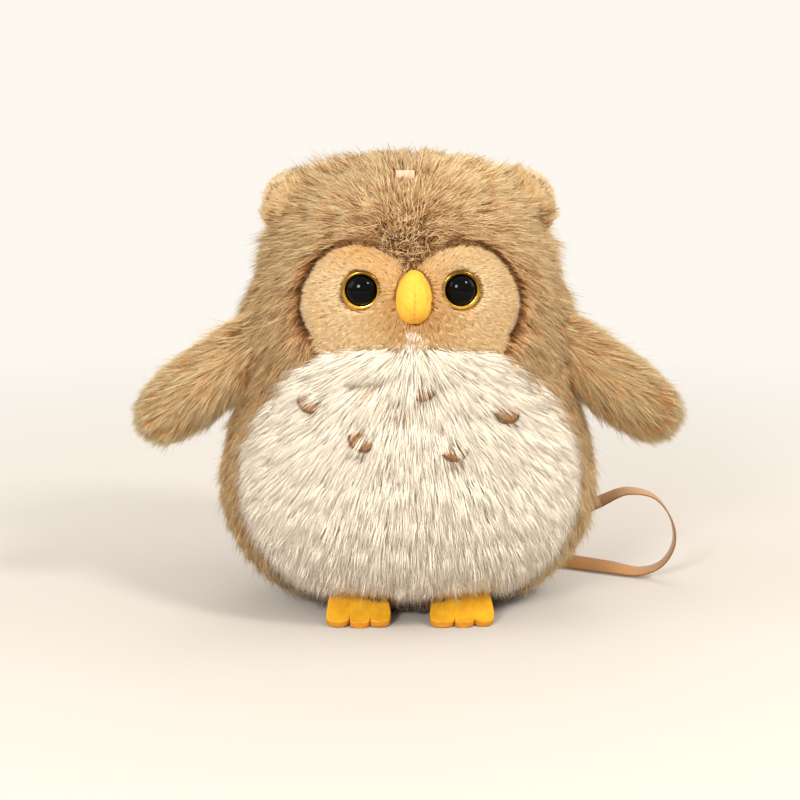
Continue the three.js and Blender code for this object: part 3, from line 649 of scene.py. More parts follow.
def pile_material(name, dark_root, dark_tip, light_root, light_tip, roughness=0.55, sheen=0.25, root_end=0.12,
                  tip_start=0.85):
    """A pile's finish from four screen colours."""
    made, tree, shader = material(name, roughness, Specular_IOR_Level=0.1, Sheen_Weight=sheen,
                                  Sheen_Roughness=0.5)
    group = tree.nodes.new("ShaderNodeGroup")
    group.node_tree = tones
    for socket, colour in zip(("Dark root", "Dark tip", "Light root", "Light tip"),
                              (dark_root, dark_tip, light_root, light_tip)):
        group.inputs[socket].default_value = shade_of(*colour)
    group.inputs["Root end"].default_value = root_end
    group.inputs["Tip start"].default_value = tip_start
    tree.links.new(group.outputs["Colour"], shader.inputs["Base Color"])
    return made


brown_pile = pile_material("brown pile", (66, 32, 12), (178, 118, 58), (192, 132, 74), (255, 235, 184), sheen=0.02,
                           root_end=0.25, tip_start=0.9)
cream_pile = pile_material("cream pile", (254, 232, 204), (255, 242, 222), (255, 242, 220), (255, 249, 236),
                           root_end=0.0, tip_start=0.4, sheen=0.05)
face_pile = pile_material("face pile", (188, 128, 60), (216, 162, 90), (218, 180, 124), (242, 218, 172),
                          root_end=0.0, tip_start=0.6, sheen=0.1)
# Dark hairs that paint shadow: along the rim of the hood and in the gaps of the point between the eyes.
shadow_pile = pile_material("shadow pile", (50, 22, 10), (112, 66, 34), (82, 44, 22), (182, 132, 84), sheen=0.0)
ear_pile = pile_material("ear pile", (156, 116, 72), (216, 180, 132), (202, 166, 118), (250, 228, 190))
# Darker than the brown coat: painted shade under the owl.
base_pile_painted_shade = pile_material("base pile painted shade", (44, 24, 10), (104, 70, 36), (72, 44, 20), (158, 120, 76))


# %% Backing cloth finish
def knit(name, colour, deep):
    """A knitted backing: fine loops in rows."""
    made, tree, shader = material(name, 0.9)
    place = object_coordinates(tree)
    loops = tree.nodes.new("ShaderNodeTexVoronoi")
    loops.inputs["Scale"].default_value = 900
    tree.links.new(place, loops.inputs["Vector"])
    tree.links.new(mix(tree, spread(tree, loops.outputs["Distance"], 0, 0.7), shade_of(*colour), shade_of(*deep)),
                   shader.inputs["Base Color"])
    bump(tree, shader, loops.outputs["Distance"], 0.0003, 0.6)
    return made


brown_knit = knit("brown backing", (108, 70, 36), (72, 44, 22))
cream_knit = knit("cream backing", (236, 214, 180), (214, 186, 146))
sand_knit = knit("sand backing", (214, 162, 104), (196, 142, 84))

# %% [markdown]
# ## Which way the hair lies
# On the head it spreads from a whorl on the forehead, up over the crown, out to the sides and down into the
# point between the eyes. On the belly it falls from the chin and fans out. On the face it lies away from
# the beak, and on the wings it runs to the tip.

# %% Naps
whorl = np.array((-3, -56, 186)) * MM
peak = np.array((0, -62, 172)) * MM
forehead = np.array((0, -58, 182)) * MM
shoulder = np.array((74, -8, 146)) * MM
ear_base = np.array((39, -13, 202)) * MM
ear_root = np.array((60, -14, 182)) * MM
chin = np.array((1, -74, 141)) * MM
below_chin = np.array((1.2, -76, 112)) * MM
beak_top = np.array((1.2, -62, 160)) * MM
before_tab = np.array((-2.2, -42, 204)) * MM


def away_from(centre, droop):
    """A nap that spreads from a centre and sinks by droop."""
    return lambda points, normal: unit(points - centre) + np.array((0, 0, -droop))


def near(points, centre, reach):
    """1 at a centre, falling to 0 at a distance."""
    return np.clip(1 - np.linalg.norm(points - centre, axis=1) / reach, 0, 1)


def over_edge(points, normal, middle):
    """Near the rim of a flat part the hair folds over the seam to the other side."""
    share = np.clip(1 - 2.2 * np.abs(normal[:, 1]), 0, 1)
    return (-0.45 * np.sign(points[:, 1] - middle[1]) * share)[:, None] * np.array((0, 1, 0))


def head_mess(points):
    """Hair round the whorl and in the point between the eyes is ruffled."""
    return (1 + 14 * near(points, whorl, 12 * MM) + 3 * near(points, whorl, 34 * MM)
            + 4 * near(points, peak, 22 * MM))


def on_shoulder(points):
    """1 on the shoulders, where the coat runs out over the wings."""
    return near(points * (0, 1, 1) + np.abs(points) * (1, 0, 0), shoulder, 22 * MM) * (points[:, 2] > 134 * MM)


def at_ears(points):
    """1 where the coat runs out over the ears."""
    return near(points * (0, 1, 1) + np.abs(points) * (1, 0, 0), ear_base, 20 * MM)


def under_ears(points):
    """1 just under the ears, where the coat closes the notch between ear and head."""
    return near(points * (0, 1, 1) + np.abs(points) * (1, 0, 0), ear_root, 15 * MM)


def coat_length(points):
    """Long on the body, longer on the shoulders and by the ears, shorter on the forehead and at the tab."""
    return (15.5 - 3.5 * near(points, forehead, 45 * MM) + 9 * on_shoulder(points) + 8 * at_ears(points)
            + 3.5 * under_ears(points) - 7 * near(points, before_tab, 10 * MM)) * MM


def coat_lift(points):
    """The coat stands up round the whorl and on the shoulders."""
    return (0.36 + 0.5 * near(points, whorl, 12 * MM) + 0.3 * near(points, peak, 20 * MM)
            + 0.25 * on_shoulder(points) + 0.4 * at_ears(points) + 0.15 * under_ears(points))


def coat_tone_and_painted_light(points):
    """Painted light: lighter on the crown, towards the sides and low on the body. Lighter too in the loose hair of the
    point between the eyes, and darker on the forehead.
    """
    return (0.12 + 0.16 * np.clip((points[:, 2] - 185 * MM) / (30 * MM), 0, 1) + 0.25 * near(points, peak, 24 * MM)
            - 0.24 * near(points, forehead, 40 * MM) + 0.2 * np.clip(1 - points[:, 2] / (120 * MM), 0, 1)
            + 0.12 * np.abs(points[:, 0]) / half_width)


def coat_nap(points, normal):
    """From the whorl outwards, and out along the wings at the shoulders."""
    out = np.stack([np.sign(points[:, 0]) * 0.8, 0 * points[:, 0], np.full(len(points), -0.5)], 1)
    return away_from(whorl, 0.2)(points, normal) + 2 * on_shoulder(points)[:, None] * out


# %% [markdown]
# ## Brown coat
# The hood goes over the crown and round the face. The side panels lie between belly and side seam, and two
# panels close the back.

# %% Brown coat
def over_face(points):
    """How far a point hangs over the face."""
    deep = inside(points, face_line) - 10 * MM * np.clip(1 - np.abs(points[:, 0]) / (18 * MM), 0, 1)
    return np.where(points[:, 1] < 0, deep, -1.0)


def over_belly(points):
    """How far a point hangs over the belly."""
    return np.where(points[:, 1] < 0, inside(points, belly_line), -1.0)


coat = dict(material=brown_pile, body="body", slot="brown_plush", lock=14, draw=0.34, lift=coat_lift,
            tone=coat_tone_and_painted_light, width=0.34 * MM, contrast=0.24, bounds=[(over_face, -1.2 * MM), (over_belly, 4 * MM)])
thinning = np.random.default_rng(70)
# Near the point between the eyes the coat is thinned, and dark hairs under it paint the shade in its gaps.
comb("hood_pile", [("hood_panel", 33000)], out_of_body, coat_nap, coat_length,
     replaces=["hood_panel"], seed=1, mess=head_mess, wild=0.09,
     keep=lambda p: thinning.random(len(p)) > 0.9 * near(p, peak, 30 * MM), **coat)
comb("hood_shade_hairs", [("hood_panel", 26000)], out_of_body, coat_nap, 8 * MM, seed=8,
     replaces=["hood_panel"], mess=head_mess, keep=lambda p: (near(p, peak, 30 * MM) > 0) & (p[:, 1] < 0),
     **{**coat, "material": shadow_pile, "lift": 0.5})
for i, side in enumerate(("left", "right")):
    comb(f"side_pile_{side}", [(f"side_panel_{side}", 18000)], out_of_body, coat_nap, coat_length,
         replaces=[f"side_panel_{side}"], seed=10 + i, **coat)
    comb(f"back_pile_{side}", [(f"back_panel_{side}", 24000)], out_of_body, coat_nap, coat_length,
         replaces=[f"back_panel_{side}"], seed=20 + i, **{**coat, "width": 0.56 * MM, "bounds": []})
for node in ("hood_panel", "side_panel_left", "side_panel_right", "back_panel_left", "back_panel_right"):
    backing(node, out_of_body, 6 * MM, brown_knit, "body")

# %% [markdown]
# ## Belly
# The belly pile is the longest and palest. Nothing may grow through the small breast patches or the feet,
# so hairs that are rooted there are left out.

# %% Marks and feet to grow round
marks = {  # across, height, tilt in the front view, and how far belly hair covers it from above
    "outer_right": (-46.4, 108.7, -40, 1.0), "inner_right": (-22.8, 93.0, -32, 0.32),
    "middle": (4.7, 116.0, 4, 1.2), "inner_left": (19.5, 88.6, 12, 0.3), "outer_left": (43.7, 103.4, 4, 0.5),
}


def past_hairline(points):
    """How far a point hangs down over the part of a breast patch that shows."""
    deep = np.full(len(points), -1.0)
    for across, up, _, cover in marks.values():
        x, below = points[:, 0] / MM - across, up + 4.2 - 8.4 * cover - points[:, 2] / MM
        deep = np.where((np.abs(x) < 5.6) & (np.abs(below) < 9), below * MM, deep)
    return deep


def clear_of_marks(points):
    """False for roots under the part of a breast patch that shows."""
    free = np.ones(len(points), bool)
    for across, up, _, cover in marks.values():
        x, z = points[:, 0] / MM - across, points[:, 2] / MM - up
        free &= ((x / 5.4) ** 2 + (z / 4.4) ** 2 > 1) | (z > 4.2 - 8.4 * cover)
    return free


def clear_of_feet(points):
    """False for roots behind the feet."""
    across = np.abs(np.abs(points[:, 0]) - 24.3 * MM)
    return ~((across < 14 * MM) & (points[:, 2] < 15 * MM) & (points[:, 1] < 0))


def beyond_belly(points):
    """How far a point hangs out over the coat beside the belly."""
    return -inside(points, belly_line)


def past_partings(points):
    """How far a point hangs down over the partings that cross the breast."""
    x, y, z = points.T / MM
    long_one = np.where((np.abs(x + 9) < 29) & (np.abs(x - 4.7) > 6) & (y < 0), 117 + 0.6 * np.sin(x * 0.5) - z, -30)
    short_one = np.where((np.abs(x + 7.5) < 8) & (y < 0), 103 - z, -30)
    near_line = np.where(np.abs(long_one) < np.abs(short_one), long_one, short_one)
    return np.where(near_line < 12, near_line, -30) * MM


def past_hem(points):
    """How far a point hangs down below the hem of the belly; the hem is higher over the feet."""
    feet = np.abs(np.abs(points[:, 0]) - 24.3 * MM) < 15 * MM
    return np.where(feet, 13 * MM, 8.5 * MM) - points[:, 2]


def over_marks(points):
    """1 just above each breast patch, where the hair stands up to fall over it."""
    high = np.zeros(len(points))
    for across, up, *_ in marks.values():
        high += np.clip(1 - np.hypot(points[:, 0] / MM - across, points[:, 2] / MM - up - 7) / 8, 0, 1)
    return np.minimum(high, 1)


def at_chin(points):
    """True in the small tuft of the belly that stands up under the beak."""
    return ((points[:, 0] / MM - 1.2) / 11) ** 2 + ((points[:, 2] / MM - 134.5) / 5) ** 2 < 1


def chin_length(points):
    """The tuft is long in the middle and short at its sides, so it comes to a point."""
    return (1.5 + 7 * np.clip(1 - np.abs(points[:, 0] / MM - 1.2) / 10, 0, 1)) * MM


belly_coat = dict(material=cream_pile, body="body", slot="cream_plush", replaces=["belly_panel"],
                  keep=lambda p: clear_of_marks(p) & clear_of_feet(p))
comb("belly_pile", [("belly_panel", 33000)], out_of_body, away_from(chin, 0.12), 20 * MM, seed=2, lock=12,
     draw=0.2, stray=0.08, sway=0.07, lift=lambda p: 0.3 + 0.3 * over_marks(p), width=0.27 * MM,
     bounds=[(beyond_belly, 5 * MM), (past_partings, 0.6 * MM), (past_hairline, 1.6 * MM), (past_hem, 2.5 * MM)],
     contrast=0.07, **belly_coat)
comb("belly_undercoat", [("belly_panel", 30000)], out_of_body, away_from(chin, 0.12), 12 * MM, seed=6, lock=8,
     draw=0.1, stray=0.2, lift=0.45, width=0.3 * MM,
     bounds=[(beyond_belly, 3 * MM), (past_partings, 0.3 * MM), (past_hairline, 0.5 * MM), (past_hem, 0.5 * MM)],
     contrast=0.07, **belly_coat)
comb("chin_tuft", [("belly_panel", 80000)], out_of_body, away_from(below_chin, -0.3), chin_length, seed=9,
     lock=14, draw=0.15, stray=0.3, lift=0.5, width=0.27 * MM, contrast=0.1, **{**belly_coat, "keep": at_chin})
backing("belly_panel", out_of_body, 6 * MM, cream_knit, "body")

# %% [markdown]
# ## Base
# The flat base is cut from shorter brown plush, its pile darker than the coat as painted shade under the owl.
# Its rim turns up a little and shows under the belly.

# %% Base
comb("base_rim_pile", [("base_panel", 5000)], out_of_body, away_from(chin, 0.6), 8 * MM, base_pile_painted_shade, "body",
     "base_plush", ["base_panel"], 3, root_depth=3.5 * MM, keep=clear_of_feet)
comb("base_pile_painted_shade", [("base_panel", 2500)], downwards, away_from(np.zeros(3), 0), 3 * MM, base_pile_painted_shade, "body",
     "base_plush", [], 4, root_depth=1.6 * MM, width=0.7 * MM)
backing("base_panel", out_of_body, 3 * MM, brown_knit, "body", floor=1.6 * MM)

# %% [markdown]
# ## Face
# The face is short, dense, sand-coloured pile set back under the rim of the hood, warmer round the beak. Dark
# hairs along the rim paint the hood's shadow.

# %% Face
eye_places = [np.array((side * 22.3, 0, 159.6)) * MM for side in (1, -1)]


def clear_of_eyes(points):
    """False for roots under the eyes and the beak."""
    free = ((points[:, 0] / MM - 1.2) / 7.2) ** 2 + ((points[:, 2] / MM - 156.8) / 11) ** 2 > 1
    for place in eye_places:
        free &= np.hypot(points[:, 0] - place[0], points[:, 2] - place[2]) > 8.6 * MM
    return free


def face_tone(points):
    """Warmer round the beak, paler round the outer eyes, and darker above the right eye: a painted shadow of the hood's
    rim.
    """
    warm = near(points * (1, 0, 1), np.array((1.2, 0, 153)) * MM, 28 * MM)
    pale = np.max([near(points * (1, 0, 1), place * (1.25, 0, 1), 15 * MM) for place in eye_places], 0)
    shaded = near(points * (1, 0, 1), np.array((-22, 0, 177)) * MM, 22 * MM)
    return 0.15 - 0.6 * warm + 0.35 * pale - 0.5 * shaded


def into_hood_shadow(points):
    """How far a point lies in the band of painted shadow along the rim of the hood. The band ends above the chin."""
    reach = (1.7 + 1.9 * np.clip((points[:, 2] / MM - 148) / 20, 0, 1)) * MM
    return np.where(points[:, 2] > 136 * MM, reach - inside(points, face_line), -9 * MM)


def over_eye(points):
    """How far a point lies over an eye."""
    return np.max([8.4 * MM - np.hypot(points[:, 0] - place[0], points[:, 2] - place[2]) for place in eye_places], 0)


comb("face_pile", [("face_panel", 33000)], out_of_body, away_from(beak_top, 0.1), 5.6 * MM, face_pile, "body",
     "face_plush", ["face_panel"], 5, root_depth=2.4 * MM, width=0.34 * MM, lock=4, draw=0.05, stray=0.2,
     tone=face_tone, keep=lambda p: clear_of_eyes(p) & (into_hood_shadow(p) < 0), lift=0.42, contrast=0.07, sway=0.05,
     bounds=[(into_hood_shadow, 1.2 * MM), (over_eye, 0.9 * MM)])
# Painted shadow of the hood: a band of dark hairs along its rim.
comb("face_rim_pile", [("face_panel", 9000)], out_of_body, away_from(beak_top, 0.1), 7 * MM, shadow_pile, "body",
     "brown_plush", ["face_panel"], 7, root_depth=2.4 * MM, width=0.34 * MM, lock=9, draw=0.25, stray=0.3,
     keep=lambda p: into_hood_shadow(p) > -0.5 * MM, lift=0.6)
backing("face_panel", out_of_body, 2.2 * MM, sand_knit, "body")

# %% [markdown]
# ## Wings and ears
# Each wing is two panels of the same brown plush over a little filling, and moves with its own body. Each
# ear is a long-pile layer behind a smooth short-pile one.

# %% Wings
for i, (name, side) in enumerate((("left", 1), ("right", -1))):
    root, chord, out = wing_frame(side)
    body = f"wing_{name}"

    def wing_nap(points, normal, root=root, chord=chord, out=out):
        fan = 0.5 * ((points - root) @ chord / wing_half_chord)[:, None] * chord
        return out + fan + over_edge(points, normal, root)

    for j, layer in enumerate(("front", "back")):
        comb(f"wing_{name}_{layer}_pile", [(f"wing_{name}_{layer}", (14000, 9000)[j])], out_of_wing(side), wing_nap,
             22 * MM, brown_pile, body, "brown_plush", [f"wing_{name}_{layer}"], 30 + 2 * i + j, root_depth=2.6 * MM,
             lift=0.2, lean=0.25, reach_back=0.8, lock=10, draw=0.4, width=0.3 * MM, tangent=0.6, contrast=0.34,
             stray=0.08, sway=0.08, tone=lambda p: np.full(len(p), 0.42))
        backing(f"wing_{name}_{layer}", out_of_wing(side), 2.6 * MM, brown_knit, body)
    layers = [f"wing_{name}_front", f"wing_{name}_back"]
    comb(f"wing_{name}_edge_pile", [(node, 5000) for node in layers], edgewise(out_of_wing(side)), wing_nap, 12 * MM,
         brown_pile, body, "brown_plush", layers, 36 + i, root_depth=2.6 * MM, lift=0.25, lean=0.25, reach_back=0.85,
         lock=10, draw=0.3, width=0.4 * MM, tangent=0.6, keep=lambda p: np.abs(p[:, 1] - root[1]) < 2.4 * MM,
         tone=lambda p: np.full(len(p), 0.36))

# %% Ears
for i, (name, side) in enumerate((("left", 1), ("right", -1))):
    middle = np.array(ear_middle) * (side, 1, 1)
    ear_out = np.array((side * math.cos(math.radians(42)), 0, math.sin(math.radians(42))))
    ear_coat = dict(body=f"ear_{name}", lift=0.35, lean=0.3, reach_back=0.8, lock=10)

    def ear_nap(points, normal, middle=middle, ear_out=ear_out):
        return unit(points - middle + ear_out * 14 * MM) + over_edge(points, normal, middle)

    def towards_rim(points, middle=middle, ear_out=ear_out):
        return (points - middle) @ ear_out

    comb(f"ear_{name}_edge_pile", [(f"ear_{name}_inner", 2500), (f"ear_{name}_outer", 2500)],
         edgewise(out_of_ear(side)), ear_nap, 5 * MM, brown_pile, slot="brown_plush", replaces=[], seed=46 + i,
         root_depth=1.2 * MM, draw=0.2, tangent=0.5, tone=lambda p: np.full(len(p), 0.35),
         keep=lambda p: np.abs(p[:, 1] - middle[1]) < 1.6 * MM, **{**ear_coat, "reach_back": 0.55})
    for j, (layer, finish, slot) in enumerate((("inner", ear_pile, "ear_plush"), ("outer", brown_pile, "brown_plush"))):
        node = f"ear_{name}_{layer}"
        comb(node + "_pile", [(node, 3500)], out_of_ear(side), ear_nap, 6 * MM, finish, slot=slot,
             replaces=[node], seed=40 + 2 * i + j, root_depth=1.1 * MM, draw=0.25, wild=0.15, **ear_coat)
        backing(node, out_of_ear(side), 1.2 * MM, brown_knit, f"ear_{name}")
    comb(f"ear_{name}_tuft", [(f"ear_{name}_inner", 4200)], out_of_ear(side), ear_nap, 12 * MM, brown_pile,
         slot="brown_plush", replaces=[f"ear_{name}_inner"], seed=50 + i, root_depth=0.5 * MM, draw=0.3,
         keep=lambda p: towards_rim(p) < 11.5 * MM, bounds=[(lambda p: towards_rim(p) - 11.5 * MM, 1.5 * MM)],
         **ear_coat)

# %% [markdown]
# ## Eyes
# The eyes are safety eyes. A polished black dome on a shank goes through the cloth, a brass ring lies on
# its flange, and a washer behind the cloth clamps it. All three are turned shapes, so each is a profile
# spun about the eye's own axis.

# %% Plastics and brass
black_plastic, tree, shader = material("black plastic", 0.06, Specular_IOR_Level=0.1)
place = object_coordinates(tree)
shader.inputs["Base Color"].default_value = shade_of(3, 3, 4)
tree.links.new(spread(tree, noise(tree, place, 260, 2), 0.3, 0.7, 0.03, 0.09), shader.inputs["Roughness"])

brass, tree, shader = material("brass", 0.22, Metallic=1.0)
place = object_coordinates(tree)
tarnish = noise(tree, place, 420, 3)
split = tree.nodes.new("ShaderNodeSeparateXYZ")
tree.links.new(place, split.inputs["Vector"])
# The upper part of each ring is darker: painted shade and a painted reflection of the dark pile above it.
bright_gold = mix(tree, spread(tree, tarnish, 0.35, 0.7), shade_of(236, 196, 84), shade_of(200, 148, 50))
tree.links.new(mix(tree, spread(tree, split.outputs["Z"], 0.153, 0.164), bright_gold, shade_of(124, 88, 34)),
               shader.inputs["Base Color"])
tree.links.new(spread(tree, tarnish, 0.3, 0.7, 0.14, 0.3), shader.inputs["Roughness"])

washer_plastic, tree, shader = material("washer plastic", 0.5)
place = object_coordinates(tree)
moulding = noise(tree, place, 700, 3)
tree.links.new(mix(tree, moulding, shade_of(236, 235, 228), shade_of(222, 220, 212)), shader.inputs["Base Color"])
bump(tree, shader, moulding, 0.0001, 0.4)


# %% Turned pieces
def spin(rows, frame_matrix, steps=96):
    """Turns a profile of (radius, distance out) rows, in mm, about its own axis and puts it in its place."""
    bm = bmesh.new()
    verts = [bm.verts.new((r * MM, 0, out * MM)) for r, out in rows]
    edges = [bm.edges.new(pair) for pair in zip(verts, verts[1:])]
    bmesh.ops.spin(bm, geom=verts + edges, axis=(0, 0, 1), cent=(0, 0, 0), angle=2 * math.pi, steps=steps,
                   use_merge=True)
    bmesh.ops.remove_doubles(bm, verts=bm.verts, dist=0.000002)
    bmesh.ops.transform(bm, matrix=frame_matrix, verts=bm.verts)
    bmesh.ops.recalc_face_normals(bm, faces=bm.faces)
    return bm


def eye_frame(side):
    """Puts the eye's axis, which turns 5 degrees outwards, on the face."""
    tilt = math.radians(5)
    out = Vector((side * math.sin(tilt), -math.cos(tilt), 0))
    up = Vector((0, 0, 1))
    rows = Matrix((up.cross(out), up, out)).transposed().to_4x4()
    return Matrix.Translation(Vector((side * 22.3, -55.5, 159.6)) * MM) @ rows


dome_rows = [(0, -11), (1.7, -11), (2.4, -9.9), (2.4, -0.3), (2.7, 0), (8.5, 0), (8.7, 0.2), (8.7, 1),
             (8.5, 1.2), (6.8, 1.2), (6.8, 1.9)]
dome_rows += [(6.8 * math.cos(a), 2.1 + 4.5 * math.sin(a)) for a in np.linspace(0.02, math.pi / 2 - 0.001, 22)]
dome_rows[-1] = (0, 6.6)
rim_rows = [(7, 1.5), (9, 1.5), (9, 2.2), (8.94, 2.5), (8.76, 2.8), (8.5, 3.02), (8.2, 3.16), (7.85, 3.22),
            (7.5, 3.18), (7.2, 3.02), (7.05, 2.8), (7, 2.5), (7, 1.5)]
washer_rows = [(2.7, -4.54), (4, -4.54), (4.4, -4.4), (7.6, -3.35), (8, -3.2), (8, -2.5), (7.8, -2.3),
               (2.7, -2.3), (2.7, -4.54)]
for name, side in (("left", 1), ("right", -1)):
    for part, rows, finish, slot in (("dome", dome_rows, black_plastic, "black_plastic"),
                                     ("rim", rim_rows, brass, "brass_rim"),
                                     ("washer", washer_rows, washer_plastic, "washer_plastic")):
        piece_from(spin(rows, eye_frame(side)), f"eye_{name}_{part}_turned", [finish], "body",
                   [f"eye_{name}_{part}"], 35)

# %% [markdown]
# ## Felt
# Felt is matted fibre: a soft, slightly mottled surface with a fuzz of tiny hairs. The sides of the feet are
# darker, a painted shade, and the beak darkens towards its lower end. The orange of the feet comes from the dye.

# %% Felt finish
def felt(name, bright, deep, darkened):
    """Matted fibre with fuzz; an attribute mixes in the third, darker colour: painted shade on the sides of the feet,
    and on the beak towards its lower end.
    """
    made, tree, shader = material(name, 0.85, Sheen_Weight=0.2, Sheen_Roughness=0.6)
    shader.inputs["Sheen Tint"].default_value = shade_of(*bright)
    place = object_coordinates(tree)
    matted = noise(tree, place, 190, 4, 0.65)
    fuzz = noise(tree, place, 1700, 2, 0.6)
    mottled = mix(tree, spread(tree, matted, 0.32, 0.68), shade_of(*bright), shade_of(*deep))
    mask = tree.nodes.new("ShaderNodeAttribute")
    mask.attribute_name = "darkened"
    tree.links.new(mix(tree, mask.outputs["Fac"], mottled, shade_of(*darkened)), shader.inputs["Base Color"])
    both = tree.nodes.new("ShaderNodeMath")
    both.operation = "ADD"
    tree.links.new(matted, both.inputs[0])
    tree.links.new(fuzz, both.inputs[1])
    bump(tree, shader, both.outputs[0], 0.0006, 0.55)
    return made


# The third colour of each felt darkens it: the beak towards its lower end, the feet on their sides as painted shade.
beak_felt = felt("beak felt", (224, 178, 58), (212, 158, 40), (212, 136, 22))
foot_felt = felt("foot felt", (218, 162, 10), (200, 138, 6), (184, 116, 4))
thread_yellow, tree, shader = material("yellow thread", 0.6, Sheen_Weight=0.3)
tree.links.new(mix(tree, noise(tree, object_coordinates(tree), 1500), shade_of(214, 150, 26),
                   shade_of(192, 124, 18)), shader.inputs["Base Color"])
thread_brown, tree, shader = material("brown thread", 0.6, Sheen_Weight=0.3)
tree.links.new(mix(tree, noise(tree, object_coordinates(tree), 1500), shade_of(92, 52, 20),
                   shade_of(54, 28, 12)), shader.inputs["Base Color"])


# %% [markdown]
# ## Beak
# Two felt halves are sewn together down the middle, turned and filled. The seam draws the felt in and
# leaves dimples, and the lower half shows its zigzag stitches.

# %% Beak halves
beak_middle = Vector((1.2, -60.34, 144.6)) * MM
beak_profile = np.array([(0, 0), (0.42, 0.04), (0.72, 0.13), (0.93, 0.27), (1, 0.43), (0.95, 0.6), (0.8, 0.76),
                         (0.56, 0.9), (0.3, 0.975), (0, 1)])


def beak_rows():
    """The egg's profile as rows of radius and height in mm, from a half turn."""
    angle = np.linspace(0, math.pi, 33)
    radius = np.sin(angle) * (1 - 0.0 * angle)
    up = 0.5 - 0.5 * np.cos(angle) - 0.07 * np.sin(angle) ** 2
    return [(8.1 * r, 24.4 * u) for r, u in zip(radius, up)]


from mathutils import noise as lumps

for name, side in (("left", 1), ("right", -1)):
    rows = beak_rows()
    rows[0], rows[-1] = (0, 0), (0, 24.4)
    bm = spin(rows, Matrix.Identity(4), 72)
    for vert in bm.verts:
        vert.co.y *= 12.9 / 8.1
        low_half = min(max(1.3 - vert.co.z / (13 * MM), 0), 1)
        seam = 0.75 * MM * low_half * math.sin(vert.co.z / MM * 2.1)
        near_seam = math.exp(-((vert.co.x - seam) / (0.7 * MM)) ** 2)
        dimple = lumps.noise(vert.co * 380) * 0.5 + lumps.noise(vert.co * 1100) * 0.22
        pull = (0.16 + low_half * (0.6 + 0.45 * math.sin(vert.co.z / MM * 4.2))) * near_seam
        away = Vector((vert.co.x, vert.co.y, 0)).normalized() if vert.co.xy.length > 1e-6 else Vector()
        vert.co += away * (dimple - pull) * MM
        vert.co += beak_middle
    geom = bm.verts[:] + bm.edges[:] + bm.faces[:]
    bmesh.ops.bisect_plane(bm, geom=geom, plane_co=(beak_middle.x + side * 0.02 * MM, 0, 0), plane_no=(-side, 0, 0),
                           clear_outer=True)
    geom = bm.verts[:] + bm.edges[:] + bm.faces[:]
    bmesh.ops.bisect_plane(bm, geom=geom, plane_co=(0, -59 * MM, 0), plane_no=(0, 1, 0), clear_outer=True)
    bmesh.ops.recalc_face_normals(bm, faces=bm.faces)
    bmesh.ops.solidify(bm, geom=bm.faces[:], thickness=1.3 * MM)
    bmesh.ops.recalc_face_normals(bm, faces=bm.faces)
    darkened = bm.verts.layers.float.new("darkened")
    for vert in bm.verts:
        # The beak is darker towards its lower end.
        low = 1 - (vert.co.z - beak_middle.z) / (9 * MM)
        vert[darkened] = min(max(0.75 * low, 0), 1)
    piece_from(bm, f"beak_{name}_felt", [beak_felt], "body", [f"beak_half_{name}"], 60)


# %% Thread
def stitches(runs, radius, name, finish, body="body"):
    """Short lengths of thread, each a capsule from one point to the next."""
    bm = bmesh.new()
    for start, end in runs:
        start, end = Vector(start), Vector(end)
        run = end - start
        made = bmesh.ops.create_uvsphere(bm, u_segments=8, v_segments=6, radius=1)["verts"]
        bmesh.ops.scale(bm, verts=made, vec=(radius, radius, run.length / 2 + radius * 0.5))
        turn_to = run.to_track_quat("Z", "Y").to_matrix().to_4x4()
        bmesh.ops.transform(bm, verts=made, matrix=Matrix.Translation((start + end) / 2) @ turn_to)
    return piece_from(bm, name, [finish], body, [], 60)


def beak_front(x, z):
    """Depth of the beak's front at a point of the seam, in mm."""
    up = (z - 144.6) / 24.4
    radius = np.interp(up, *np.array([(u / 24.4, r) for r, u in beak_rows()]).T)
    share = min(abs(x - 1.2) / max(radius, 0.1), 1)
    return -60.34 - 12.9 / 8.1 * radius * math.sqrt(1 - share**2)


runs = []
for i in range(9):
    z = 147.2 + 1.5 * i
    left_to_right = 1 if i % 2 else -1
    ends = [(1.2 - 0.75 * left_to_right, z), (1.2 + 0.75 * left_to_right, z + 1.5)]
    runs.append([Vector((x, beak_front(x, up) + 0.2, up)) * MM for x, up in ends])
stitches(runs, 0.2 * MM, "beak_stitches", thread_yellow)

# %% [markdown]
# ## Feet
# Each foot is one piece of thick felt with three toes, cut out flat. It is sewn on under the belly and
# bends forward over the floor. So the plan is cut flat here as well, given its thickness, and then bent
# along the sole.

# %% Feet
def foot_outline(toes):
    """The plan of a foot: x across and s towards the toes, in mm. toes gives (middle, radius, reach)."""
    points = []
    for middle, radius, reach in toes:
        for angle in np.linspace(math.pi, 0, 15):
            points.append((middle + radius * math.cos(angle), reach + radius * 0.72 * math.sin(angle)))
    cleaned = [points[0]]
    for point in points[1:]:
        if point[0] > cleaned[-1][0] - 0.01:
            cleaned.append(point)
    return cleaned


sole_start, sole_bend, sole_end = Vector((0, -37, 18)), Vector((0, -46.5, 1.7)), Vector((0, -55, 1.7))


def sole(share):
    """A point of the sole and the direction out of its top, for a share from the root to the toes."""
    share = float(share)
    place = sole_start * (1 - share) ** 2 + sole_bend * (2 * share * (1 - share)) + sole_end * share**2
    along = ((sole_bend - sole_start) * (1 - share) + (sole_end - sole_bend) * share).normalized()
    return place, Vector((1, 0, 0)).cross(along)


sole_stops = np.linspace(0, 1, 200)
sole_gone = np.cumsum([0] + [(sole(b)[0] - sole(a)[0]).length for a, b in zip(sole_stops, sole_stops[1:])])
sole_length = sole_gone[-1]
print(f"sole: {sole_length:.1f} mm long")

